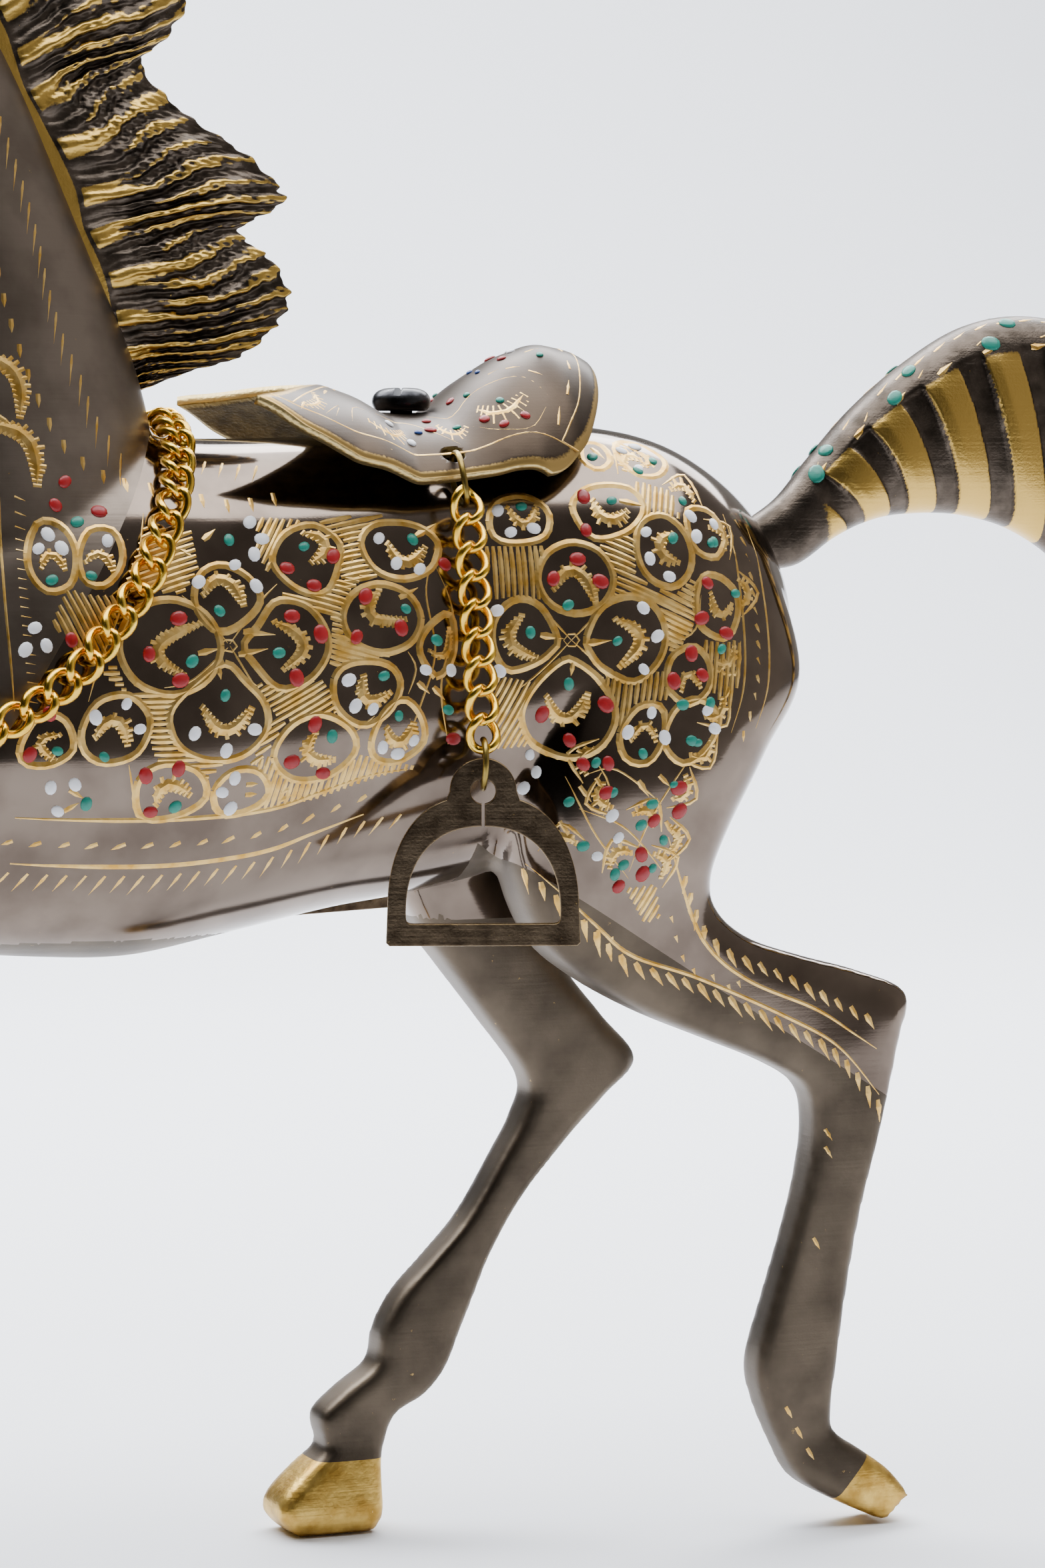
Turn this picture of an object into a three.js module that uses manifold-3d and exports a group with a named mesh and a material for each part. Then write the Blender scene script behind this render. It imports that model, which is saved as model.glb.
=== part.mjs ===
// Cast brass horse that faces -X and stands on its hooves, in millimetres with +Z up.
// The casting, its brazed-on mane and tail, a screwed saddle plate, a neck chain and two hung stirrups.
import * as THREE from 'three';
import { mergeVertices } from 'three/addons/utils/BufferGeometryUtils.js';
import Module from 'manifold-3d';

const wasm = await Module();
wasm.setup();

// Driving sizes of the casting
const backHeight = 110;
const bodySides = 18;
const headSides = 10;
const headSquare = 2.3;
const earSides = 6;
const legSides = 8;
const legSquare = 3;
const legSquareBy = 0.45;
const holeSides = 8;

// Driving sizes of what is fastened to it; the saddle plate's own are drawn with the figure and scale with it
const fitGap = 0.3;
const plateThickness = 1.4;
const saddleHalfWidth = 13;
const saddleWingLength = 19.4;
const saddleNotchDepth = 9.9;
const saddleNotchPower = 1.3;
const saddleCantleStart = 6;
const saddleCantleLength = 13;
const saddleCantleRound = 0.9;
const saddleBend = 0.83;
const saddleTipRound = 0.1;
const saddleTipPower = 6;
const saddleRows = 12;
const saddleColumns = 10;
const screwHeadRadius = 2.9;
const screwHeadHeight = 2;
const screwShankRadius = 1.1;
const screwShankDepth = 5;
const screwSlotWidth = 0.7;
const screwSlotDepth = 0.8;
const screwSlotTurn = 1.05;
const screwHeadSides = 8;
const screwSeatReach = 1.2;
const screwDomeSteps = 3;
const screwEdgeShare = 0.35;
const chainWire = 0.85;
const chainPitch = 2.75;
const chainWidth = 3.5;
const chainTwist = 0.9;
const linkSteps = 6;
const linkSides = 3;
const linkContact = 0.64;
const linkSeatShare = 0.86;
const stirrupLinks = 9;
const hookWire = 0.6;
const hookHoleRadius = 1.2;
const hookHoleFromRim = 1.8;
const hookHoleX = 0.9;
const hookSlack = 0.85;
const hookSteps = 10;
const hookSides = 4;
const stirrupWidth = 18.6;
const stirrupHeight = 14.8;
const stirrupBar = 2.1;
const stirrupThickness = 1.3;
const stirrupLugRadius = 3.2;
const stirrupCornerRound = 1.2;
const stirrupTurn = 0.35;
const stirrupCurveSteps = 4;
// Shares of the stirrup's own sizes that shape its shoulders and its window
const lugSink = 0.25;
const flankTop = [0.985, 0.3];
const shoulderPull = [[0.97, 0.66], [0.73, 0.93]];
const shoulderEnd = 0.376;
const windowSide = 0.9;
const windowTop = 1.2;
const windowPull = [0.71, 0.65];

// How a stirrup chain bows out over the flank, from its first link down
const flankHalfWidth = 16.2;
const chainShoulder = new THREE.Vector3(0.1, 0.4, -11);
const chainFoot = new THREE.Vector3(0.4, 1.4, -30);

// The figure is drawn for a back 110 mm high, and every station below scales with the real height
const drawnBackHeight = 110;
const figureScale = backHeight / drawnBackHeight;

// Stations are [front x, front z, rear x, rear z, centre y, half width], from one end of a form to the other
const bodyStations = [
  [-63.5, 84, -63, 79, 0, 4],
  [-62, 92, -61.5, 72, 0, 9],
  [-58.5, 100, -58, 65.5, 0, 12.6],
  [-53, 105.5, -53, 62.2, 0, 14.8],
  [-46, 108.6, -46, 60.9, 0, 16],
  [-38, 110, -38, 60.1, 0, 16.6],
  [-29, 110.2, -29, 59.9, 0, 16.8],
  [-20, 109.9, -19.5, 61.6, 0, 16.6],
  [-10, 110.1, -8.5, 63.8, 0, 16.3],
  [0, 110.7, 0, 65, 0, 16.1],
  [10, 111.1, 9, 67, 0, 16.3],
  [19, 111.1, 18, 71, 0, 16.4],
  [26, 109.8, 25, 75, 0, 15.8],
  [31.5, 107, 31, 78, 0, 14.2],
  [36, 103, 35.5, 81, 0, 11.4],
  [39, 98, 38.6, 85, 0, 7.4],
  [40.2, 94, 40, 88.5, 0, 3.4],
];
const neckStations = [
  [-58, 84, -24, 96, 0, 13],
  [-62, 93, -25.6, 107, 0, 12.6],
  [-61.5, 104, -27.5, 116, 0, 10.6],
  [-59.5, 114.5, -30.8, 124.8, 0, 9],
  [-57.8, 124.5, -34.6, 134, 0, 7.9],
  [-57.3, 134, -38.8, 143.8, 0, 7],
  [-58.6, 142.6, -43.4, 152.6, 0, 6.4],
  [-61.5, 149, -48.4, 160.4, 0, 6],
  [-64.5, 152.5, -55.8, 163.6, 0, 4.6],
];
const headStations = [
  [-52.5, 160, -60, 150, 0, 4.2],
  [-55.5, 168.2, -62.5, 148.6, 0, 6],
  [-61, 168.4, -67, 146, 0, 6.4],
  [-66, 165, -70.8, 144.6, 0, 5.9],
  [-70.2, 160.4, -73.8, 143.8, 0, 5],
  [-74, 155.4, -76.2, 142.4, 0, 4.4],
  [-77.6, 150.4, -78.6, 140.6, 0, 4.2],
  [-80.8, 145.8, -80.4, 138, 0, 4.4],
  [-82.6, 142, -81.8, 136.2, 0, 3.8],
  [-82.8, 139.2, -82.4, 136.6, 0, 2.2],
];
const earStations = [
  [-61.5, 164.5, -56.5, 162.5, 2.8, 1.7],
  [-60, 169.8, -55.4, 168.6, 3.5, 1.9],
  [-58.4, 173.4, -55.2, 172.6, 4, 1.5],
  [-56.6, 176.8, -55.6, 176.6, 4.2, 0.6],
];
const plantedForelegStations = [
  [-61, 94, -42, 94, -8, 7],
  [-61.8, 79, -44, 77, -8.6, 7.6],
  [-61.5, 69, -47.6, 66, -8.6, 6.4],
  [-61.4, 60.5, -49.8, 58.6, -8.4, 5.1],
  [-61.4, 52, -51.8, 51, -8.2, 4.2],
  [-61.4, 45, -53.8, 44.4, -8, 3.6],
  [-62.2, 39.6, -54.2, 39, -8, 3.7],
  [-61.8, 35, -55, 34.6, -8, 3.2],
  [-61.2, 29, -55.8, 28.6, -8, 2.8],
  [-61.4, 20, -56, 19.6, -8, 2.7],
  [-61.9, 14.5, -55.2, 13.5, -8, 2.9],
  [-62.2, 10.6, -56.2, 9.5, -8, 2.7],
  [-64, 7.4, -56.8, 6.6, -8, 3.2],
  [-66.5, 3.4, -57.2, 3, -8, 3.9],
  [-67.6, 1, -57.4, 0.9, -8, 4.1],
  [-66.8, 0, -58, 0, -8, 3.6],
];
const raisedForelegStations = [
  [-61, 92, -42, 92, 8, 7],
  [-63.5, 80, -45, 74, 8.4, 7.2],
  [-67, 73.2, -51.4, 64.6, 8.4, 5.8],
  [-72, 69, -58.6, 58.6, 8.2, 4.6],
  [-77.4, 65.4, -65.6, 55.4, 8, 3.9],
  [-82, 60.8, -71.2, 53.2, 8, 3.7],
  [-82.2, 54, -74.2, 50.2, 8, 3.4],
  [-80.2, 47.4, -73.8, 44.8, 8, 2.9],
  [-77.6, 40, -72, 38, 8, 2.7],
  [-76, 34.6, -69.6, 32, 8, 2.9],
  [-74.2, 30, -68.4, 28, 8, 2.7],
  [-74.4, 26.4, -67, 24.4, 8, 3.2],
  [-74.8, 22, -65.4, 20, 8, 3.8],
  [-73.6, 18.8, -64.8, 17, 8, 3.6],
];
const trailingHindLegStations = [
  [8, 98, 36, 99, -7.4, 7.6],
  [5, 86, 38.8, 87, -8.4, 8.2],
  [5.6, 76, 34.6, 79, -8.6, 8],
  [7.6, 67, 30.4, 71.4, -8.6, 6.8],
  [10.6, 60.6, 28.6, 66.4, -8.4, 5.8],
  [15.4, 56.6, 29.6, 63, -8.2, 5],
  [22, 53, 33.2, 60.2, -8, 4.4],
  [29.5, 49.9, 39, 58.2, -8, 3.9],
  [36, 47.2, 45.4, 56.4, -8, 3.5],
  [39.8, 44.6, 50.7, 54, -8, 3.3],
  [40.6, 40.4, 50, 49.4, -8, 3.1],
  [39.8, 35, 48, 40.2, -8, 2.9],
  [38.2, 29.4, 46, 32.4, -8, 2.7],
  [36.2, 23.1, 44.4, 24.2, -8, 2.7],
  [34.5, 17, 43.2, 16.4, -8, 2.9],
  [35.2, 12.8, 42.7, 12, -8, 2.7],
  [37.2, 8.2, 43, 9.6, -8, 2.6],
  [39.3, 4.8, 45.8, 7.6, -8, 3],
  [43.2, 2.4, 48.8, 5.4, -8, 3.3],
  [48.4, 0, 51.2, 2.7, -8, 3.1],
];
const leadingHindLegStations = [
  [6, 98, 36, 99, 7.4, 7.6],
  [0.5, 85, 38.6, 86, 8.4, 8.2],
  [0, 75, 33.6, 77, 8.6, 7.8],
  [1.6, 66.6, 24.6, 69, 8.6, 6.4],
  [4.4, 60.6, 18.6, 61.8, 8.4, 5],
  [7.6, 56.2, 19.8, 56.6, 8.2, 4.4],
  [11.6, 51, 24, 51.2, 8, 3.9],
  [16, 44.8, 27.8, 46.6, 8, 3.4],
  [15.2, 40.8, 24.6, 43, 8, 3.1],
  [13.2, 37.2, 20.4, 38.8, 8, 2.9],
  [9.4, 31.1, 15.4, 33, 8, 2.7],
  [5.6, 27, 12, 27.4, 8, 2.7],
  [2.3, 23.7, 10.2, 23.2, 8, 2.7],
  [0.2, 20.1, 8.6, 19.6, 8, 2.8],
  [-0.6, 16.6, 7, 16, 8, 2.9],
  [-3.8, 14.2, 4.8, 13.4, 8, 2.9],
  [-6.5, 11.6, 1.6, 11.6, 8, 2.9],
  [-6, 8.5, 0.3, 8.9, 8, 3],
  [-8.2, 6.5, -0.1, 6.5, 8, 3.4],
  [-10.8, 3.8, -0.1, 3.8, 8, 3.9],
  [-11.2, 1.8, -0.1, 1.8, 8, 4.1],
  [-9.6, 0, -0.8, 0, 8, 3.6],
];
const tailStations = [
  [37.5, 101.6, 38, 96.6, 0, 2.4],
  [41, 104, 42.6, 97, 0, 2.8],
  [44.6, 108, 47, 99.8, 0, 3.4],
  [49.4, 113, 51.4, 101.6, 0, 4.2],
  [55.2, 117.6, 56, 102.2, 0, 4.7],
  [61.7, 121.3, 61.6, 102, 0, 5],
  [68.6, 122.5, 67.6, 100.4, 0, 5.1],
  [76.4, 121, 73, 97, 0, 5],
  [84.6, 116.6, 77.6, 92, 0, 4.8],
  [91.2, 109, 81.4, 85.4, 0, 4.5],
  [95.6, 99.6, 84.6, 78.4, 0, 4.1],
  [98, 89.2, 87.6, 71.4, 0, 3.6],
  [99.2, 78.6, 90.4, 65.2, 0, 3],
  [99.8, 69, 93.6, 60.2, 0, 2.2],
  [100.4, 60, 98.2, 57, 0, 0.9],
];
const tailFlutes = 15;
const fluteDepth = 0.09;
const fluteTop = 0.6;

// The mane's outer edge as [share of the crest, x, z], with one point at each lock's tip and notch
const maneEdge = [
  [0, -27.2, 114.4],
  [0.06, -22, 116.3],
  [0.12, -16.7, 117.8],
  [0.18, -12.8, 121],
  [0.22, -11.6, 123.7],
  [0.26, -13.2, 127],
  [0.31, -16.7, 129.9],
  [0.35, -13.6, 131.8],
  [0.38, -12, 133.4],
  [0.43, -15.6, 137.1],
  [0.49, -22.4, 141.3],
  [0.54, -26.6, 145.7],
  [0.59, -23.8, 148.6],
  [0.63, -22, 152.6],
  [0.68, -26, 157],
  [0.73, -33, 160.6],
  [0.78, -30.6, 165],
  [0.81, -31, 168],
  [0.86, -37, 170.6],
  [0.9, -42.4, 170.2],
  [0.94, -43, 174],
  [0.97, -46, 176.4],
  [1, -54, 172.6],
];
const maneCrest = [
  [0, -29.5, 114.6],
  [0.25, -34, 126.5],
  [0.5, -39.5, 140.5],
  [0.75, -46.5, 154.5],
  [1, -56, 166.5],
];
const maneRows = 32;
const maneColumns = 3;
const maneRootHalfWidth = 3.3;
const maneTipHalfWidth = 0.9;
const maneThinning = 1.4;
const maneStrands = 11;
const strandDepth = 0.35;
const strandFade = 4;
const maneEndsShare = 0.5;
const maneFrontTaper = 6;
const maneBackTaper = 4;

// The saddle's top line and how far its edge drops below it, as [x, height above the seat] and [x, drop]
const saddleTopLine = [
  [-20, 4.4],
  [-16, 4.3],
  [-13, 3.7],
  [-9.5, 2.9],
  [-6.5, 1.9],
  [-3.4, 0.1],
  [0, 0],
  [3.2, 0.1],
  [6.9, 3.3],
  [10.5, 5.6],
  [14, 6.9],
  [17, 6.3],
  [19, 5.2],
];
const saddleDrop = [
  [-20, 3],
  [-18, 3.5],
  [-15.7, 4.8],
  [-13, 5.4],
  [-9.5, 6.5],
  [-5.1, 6],
  [0, 5.5],
  [3.2, 5.2],
  [5.3, 6.7],
  [9, 8.8],
  [13.1, 14],
  [16.7, 19.3],
  [19, 23],
];

// Where the neck chain lies: points inside the casting and the way out from each of them
const neckChainRoute = [
  [-24.6, 0, 100, 0, 0, 1],
  [-26, -4, 100, 0, -0.55, 1],
  [-28, -4, 98, 0, -1, 0.62],
  [-31.3, -4, 95, 0, -1, 0.2],
  [-36.4, -4, 90.8, 0, -1, 0],
  [-42.2, -4, 85.2, -0.05, -1, 0],
  [-49, -4, 81, -0.25, -1, 0],
  [-54, -3, 78.5, -0.8, -1, 0],
  [-55, 0, 77, -1, 0, 0],
];
const routeStepsBetween = 4;
const routeLengthSteps = 600;

const finishes = {
  casting: new THREE.MeshStandardMaterial({ color: 0x6b5f57, roughness: 0.25, metalness: 1 }),
  locks: new THREE.MeshStandardMaterial({ color: 0xa98a4c, roughness: 0.4, metalness: 1 }),
  plate: new THREE.MeshStandardMaterial({ color: 0x6f604c, roughness: 0.45, metalness: 1 }),
  screw: new THREE.MeshStandardMaterial({ color: 0x2b2c2e, roughness: 0.4, metalness: 1 }),
  chain: new THREE.MeshStandardMaterial({ color: 0xd9a425, roughness: 0.2, metalness: 1 }),
  wire: new THREE.MeshStandardMaterial({ color: 0x9c8443, roughness: 0.35, metalness: 1 }),
  stirrup: new THREE.MeshStandardMaterial({ color: 0x4a3d2c, roughness: 0.55, metalness: 1 }),
};

/** A closed geometry as a solid that can be joined and cut. */
function solidOf(geometry) {
  const bare = geometry.clone();
  bare.deleteAttribute('normal');
  bare.deleteAttribute('uv');
  const merged = mergeVertices(bare, 1e-5);
  const vertProperties = new Float32Array(merged.attributes.position.array);
  const triVerts = new Uint32Array(merged.index.array);
  return new wasm.Manifold(new wasm.Mesh({ numProp: 3, vertProperties, triVerts }));
}

/** A solid back as a geometry. */
function geometryOf(solid) {
  const mesh = solid.getMesh();
  const geometry = new THREE.BufferGeometry();
  geometry.setAttribute('position', new THREE.BufferAttribute(new Float32Array(mesh.vertProperties), 3));
  geometry.setIndex(new THREE.BufferAttribute(new Uint32Array(mesh.triVerts), 1));
  return geometry;
}

function joined(solids) {
  return solids.reduce((whole, solid) => whole.add(solid));
}

/** Straight-line value at `at` in a list of [position, values...] rows. */
function lookUp(rows, at) {
  let upper = rows.findIndex((row) => row[0] >= at);
  upper = upper < 1 ? (upper === 0 ? 1 : rows.length - 1) : upper;
  const [low, high] = [rows[upper - 1], rows[upper]];
  const share = THREE.MathUtils.clamp((at - low[0]) / (high[0] - low[0]), 0, 1);
  return low.slice(1).map((value, index) => THREE.MathUtils.lerp(value, high[index + 1], share));
}

/** Smooth value between the stations before and after a place along them. */
function smoothStation(stations, place) {
  const start = Math.min(Math.floor(place), stations.length - 2);
  const share = place - start;
  const before = stations[Math.max(start - 1, 0)];
  const [low, high] = [stations[start], stations[start + 1]];
  const after = stations[Math.min(start + 2, stations.length - 1)];
  return low.map((value, index) => {
    const leave = (high[index] - before[index]) / 2;
    const arrive = (after[index] - value) / 2;
    const rise = high[index] - value;
    const bend = 3 * rise - 2 * leave - arrive;
    const turn = leave + arrive - 2 * rise;
    return value + share * (leave + share * (bend + share * turn));
  });
}

/** Faces over a grid of rows of points, closed around each row, with a fan on both ends. */
function closedTube(positions, rows, sides, loops) {
  const index = [];
  const rowPairs = loops ? rows : rows - 1;
  for (let row = 0; row < rowPairs; row += 1) {
    const next = (row + 1) % rows;
    for (let side = 0; side < sides; side += 1) {
      const beside = (side + 1) % sides;
      const [a, b] = [row * sides + side, row * sides + beside];
      const [c, d] = [next * sides + side, next * sides + beside];
      index.push(a, b, d, a, d, c);
    }
  }
  if (!loops) {
    for (const row of [0, rows - 1]) {
      const centre = positions.length / 3;
      const sum = new THREE.Vector3();
      for (let side = 0; side < sides; side += 1) {
        sum.add(new THREE.Vector3().fromArray(positions, 3 * (row * sides + side)));
      }
      positions.push(...sum.divideScalar(sides).toArray());
      for (let side = 0; side < sides; side += 1) {
        const [a, b] = [row * sides + side, row * sides + ((side + 1) % sides)];
        index.push(...(row === 0 ? [centre, b, a] : [centre, a, b]));
      }
    }
  }
  return outward(positions, index);
}

/** A geometry with its faces turned so that its volume is positive. */
function outward(positions, index) {
  const corners = [new THREE.Vector3(), new THREE.Vector3(), new THREE.Vector3()];
  let volume = 0;
  for (let face = 0; face < index.length; face += 3) {
    corners.forEach((corner, place) => corner.fromArray(positions, 3 * index[face + place]));
    volume += corners[0].dot(corners[1].clone().cross(corners[2]));
  }
  const geometry = new THREE.BufferGeometry();
  geometry.setAttribute('position', new THREE.Float32BufferAttribute(positions, 3));
  geometry.setIndex(volume > 0 ? index : index.reverse());
  return geometry;
}

/** A rounded form through stations, whose section turns from an ellipse to a boxier one, up to `square`. */
function form(stations, { rings, sides, square = 2, squareBy = 0, grow = 0, ripple = () => 0 }) {
  const positions = [];
  for (let ring = 0; ring < rings; ring += 1) {
    const share = ring / (rings - 1);
    const boxy = squareBy > 0 ? Math.min(1, share / squareBy) : 1;
    const power = 2 / THREE.MathUtils.lerp(2, square, boxy);
    const row = smoothStation(stations, share * (stations.length - 1)).map((value) => value * figureScale);
    const [frontX, frontZ, rearX, rearZ, y, halfWidth] = row;
    const reach = Math.hypot(frontX - rearX, frontZ - rearZ) / 2;
    const stretch = (reach + grow) / reach;
    for (let side = 0; side < sides; side += 1) {
      const angle = (2 * Math.PI * side) / sides;
      const along = Math.sign(Math.cos(angle)) * Math.abs(Math.cos(angle)) ** power * stretch;
      const across = Math.sign(Math.sin(angle)) * Math.abs(Math.sin(angle)) ** power;
      const wide = halfWidth * (1 + ripple(share, along)) + grow;
      positions.push(
        (frontX + rearX) / 2 + ((frontX - rearX) / 2) * along,
        y + wide * across,
        (frontZ + rearZ) / 2 + ((frontZ - rearZ) / 2) * along,
      );
    }
  }
  return solidOf(closedTube(positions, rings, sides, false));
}

/** A closed sheet between two grids of points, upper(row, column) and lower(row, column) as vectors. */
function sheet(rows, columns, upper, lower) {
  const positions = [];
  const index = [];
  const across = columns + 1;
  const layer = (rows + 1) * across;
  for (const point of [upper, lower]) {
    for (let row = 0; row <= rows; row += 1) {
      for (let column = 0; column <= columns; column += 1) {
        positions.push(...point(row / rows, column / columns).toArray());
      }
    }
  }
  const quad = (a, b, c, d) => index.push(a, b, c, a, c, d);
  for (let row = 0; row < rows; row += 1) {
    for (let column = 0; column < columns; column += 1) {
      const corner = row * across + column;
      quad(corner, corner + 1, corner + across + 1, corner + across);
      quad(layer + corner, layer + corner + across, layer + corner + across + 1, layer + corner + 1);
    }
  }
  const rim = [];
  for (let column = 0; column < columns; column += 1) rim.push(column);
  for (let row = 0; row < rows; row += 1) rim.push(row * across + columns);
  for (let column = columns; column > 0; column -= 1) rim.push(rows * across + column);
  for (let row = rows; row > 0; row -= 1) rim.push(row * across);
  rim.forEach((start, place) => {
    const end = rim[(place + 1) % rim.length];
    quad(start, layer + start, layer + end, end);
  });
  return solidOf(outward(positions, index));
}

/** A wire bent to a closed ring, with one corner of its section on the ring's inside. */
function wireRing(pointAt, centre, steps, sides, radius) {
  const positions = [];
  for (let step = 0; step < steps; step += 1) {
    const angle = (2 * Math.PI * step) / steps;
    const point = pointAt(angle);
    const tangent = pointAt(angle + 0.01).sub(pointAt(angle - 0.01)).normalize();
    const inward = centre.clone().sub(point);
    inward.addScaledVector(tangent, -inward.dot(tangent)).normalize();
    const beside = new THREE.Vector3().crossVectors(tangent, inward);
    for (let side = 0; side < sides; side += 1) {
      const turn = (2 * Math.PI * side) / sides;
      const offset = inward.clone().multiplyScalar(radius * Math.cos(turn));
      offset.addScaledVector(beside, radius * Math.sin(turn));
      positions.push(...point.clone().add(offset).toArray());
    }
  }
  return solidOf(closedTube(positions, steps, sides, true));
}

/** One curb link, turned one way at one end and the other way at the other end, with short straight ends. */
function curbLink(centre, along, outwardWay, pitch, twist) {
  const tangent = along.clone().normalize();
  const normal = outwardWay.clone().addScaledVector(tangent, -outwardWay.dot(tangent)).normalize();
  const flat = new THREE.Vector3().crossVectors(tangent, normal);
  const endFlat = Math.cos(Math.PI / linkSteps);
  const halfLength = (pitch + linkContact * chainWire) / 2 / endFlat;
  const halfWidth = (chainWidth - chainWire) / 2;
  const pointAt = (angle) => {
    const place = angle + Math.PI / linkSteps;
    const turn = twist * Math.cos(place);
    const side = halfWidth * Math.sin(place);
    return centre.clone()
      .addScaledVector(tangent, halfLength * Math.cos(place))
      .addScaledVector(flat, side * Math.cos(turn))
      .addScaledVector(normal, side * Math.sin(turn));
  };
  return wireRing(pointAt, centre, linkSteps, linkSides, chainWire / 2);
}

/** Every form of the casting, each one grown by a clearance where something else is cut by it. */
function castingForms(grow) {
  const leg = { sides: legSides, square: legSquare, squareBy: legSquareBy, grow };
  const forms = [
    form(bodyStations, { rings: 17, sides: bodySides, grow }),
    form(neckStations, { rings: 9, sides: bodySides, grow }),
    form(headStations, { rings: 10, sides: headSides, square: headSquare, grow }),
    form(plantedForelegStations, { ...leg, rings: 14 }),
    form(raisedForelegStations, { ...leg, rings: 13 }),
    form(trailingHindLegStations, { ...leg, rings: 17 }),
    form(leadingHindLegStations, { ...leg, rings: 18 }),
  ];
  for (const side of [-1, 1]) {
    const ear = earStations.map((row) => row.map((value, index) => (index === 4 ? side * value : value)));
    forms.push(form(ear, { rings: 4, sides: earSides, grow }));
  }
  return joined(forms);
}

function castHorse() {
  const shankHole = new THREE.CylinderGeometry(
    screwShankRadius + fitGap,
    screwShankRadius + fitGap,
    2 * (screwShankDepth + fitGap),
    holeSides,
  );
  shankHole.rotateX(Math.PI / 2).translate(0, 0, saddleSeat);
  return castingForms(0).subtract(solidOf(shankHole));
}

/** Locks as a slab on the crest, with a ridge along each strand. */
function castMane() {
  const place = (row, column, side) => {
    const root = lookUp(maneCrest, row);
    const tip = lookUp(maneEdge, row);
    const ridge = strandDepth * Math.cos(2 * Math.PI * maneStrands * row);
    const half = THREE.MathUtils.lerp(maneRootHalfWidth, maneTipHalfWidth, column ** maneThinning);
    const full = Math.min(1, maneBackTaper * row, maneFrontTaper * (1 - row));
    const thickness = half * THREE.MathUtils.lerp(maneEndsShare, 1, full) + ridge * (1 - column ** strandFade);
    return new THREE.Vector3(
      THREE.MathUtils.lerp(root[0], tip[0], column),
      side * thickness,
      THREE.MathUtils.lerp(root[1], tip[1], column),
    ).multiplyScalar(figureScale);
  };
  return sheet(
    maneRows,
    maneColumns,
    (row, column) => place(row, column, 1),
    (row, column) => place(row, column, -1),
  );
}

/** The tail as one arched form with flutes down its sides. */
function castTail() {
  const flute = (share) => fluteDepth * Math.cos(2 * Math.PI * tailFlutes * share);
  const ripple = (share, along) => (along < fluteTop ? flute(share) : 0);
  return form(tailStations, { rings: 2 * tailFlutes + 1, sides: headSides, square: headSquare, ripple });
}

const seatStation = 9;
const surfaceStep = 0.4;
const saddleSeat = smoothStation(bodyStations, seatStation)[1] * figureScale + fitGap;

/** Where the plate begins and ends at a share of its half width. */
function saddleEnds(across) {
  const notch = saddleNotchDepth * (1 - Math.abs(across) ** saddleNotchPower);
  const cantle = saddleCantleLength * Math.sqrt(1 - saddleCantleRound * across ** 2);
  return { front: notch - saddleWingLength, rear: saddleCantleStart + cantle };
}

/** Height of the plate's underside over the ground, at a drawn x and y. */
function saddleHeight(x, y) {
  const bend = saddleBend * (y / saddleHalfWidth);
  const arc = (1 - Math.sqrt(1 - bend ** 2)) / (1 - Math.sqrt(1 - saddleBend ** 2));
  const rise = lookUp(saddleTopLine, x)[0] - lookUp(saddleDrop, x)[0] * arc;
  return saddleSeat + rise * figureScale;
}

/** Point on the saddle plate's underside; row runs from the front to the cantle, column across. */
function saddlePoint(row, column) {
  const across = Math.sin(Math.PI * (column - 0.5));
  const { front, rear } = saddleEnds(across);
  const x = THREE.MathUtils.lerp(front, rear, row);
  const tipRound = saddleTipRound * Math.max(0, 1 - 2 * row) ** saddleTipPower * across ** 2;
  const y = saddleHalfWidth * across * (1 - tipRound);
  return new THREE.Vector3(x * figureScale, y * figureScale, saddleHeight(x, y));
}

/** The way up through the plate at a point of its underside. */
function saddleNormal(point) {
  const [x, y] = [point.x / figureScale, point.y / figureScale];
  const inside = THREE.MathUtils.clamp(y, -saddleHalfWidth + surfaceStep, saddleHalfWidth - surfaceStep);
  const slopeAt = (ahead, behind) => (ahead - behind) / (2 * surfaceStep * figureScale);
  const alongX = slopeAt(saddleHeight(x + surfaceStep, y), saddleHeight(x - surfaceStep, y));
  const alongY = slopeAt(saddleHeight(x, inside + surfaceStep), saddleHeight(x, inside - surfaceStep));
  return new THREE.Vector3(-alongX, -alongY, 1).normalize();
}

/** The hole for the hook: its middle, the way through the plate, the way down along it and the rim below. */
function hookHole(side) {
  const placeAt = (y) => new THREE.Vector3(
    hookHoleX * figureScale,
    y * figureScale,
    saddleHeight(hookHoleX, y),
  );
  const seat = placeAt(side * (saddleHalfWidth - hookHoleFromRim));
  const rim = placeAt(side * saddleHalfWidth);
  const through = saddleNormal(seat);
  const middle = seat.clone().addScaledVector(through, plateThickness / 2);
  return { middle, through, down: rim.clone().sub(seat).normalize(), rim };
}

function bentSaddle() {
  let plate = sheet(
    saddleRows,
    saddleColumns,
    (row, column) => {
      const point = saddlePoint(row, column);
      return point.clone().addScaledVector(saddleNormal(point), plateThickness);
    },
    saddlePoint,
  );
  const shankHole = new THREE.CylinderGeometry(
    screwShankRadius + fitGap,
    screwShankRadius + fitGap,
    6 * plateThickness,
    holeSides,
  );
  shankHole.rotateX(Math.PI / 2).translate(0, 0, saddleSeat);
  plate = plate.subtract(solidOf(shankHole));
  for (const side of [-1, 1]) {
    const { middle, through } = hookHole(side);
    const hole = new THREE.CylinderGeometry(hookHoleRadius, hookHoleRadius, 3 * plateThickness, holeSides);
    const turn = new THREE.Quaternion().setFromUnitVectors(new THREE.Vector3(0, 1, 0), through);
    hole.applyQuaternion(turn).translate(middle.x, middle.y, middle.z);
    plate = plate.subtract(solidOf(hole));
  }
  return plate;
}

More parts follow.
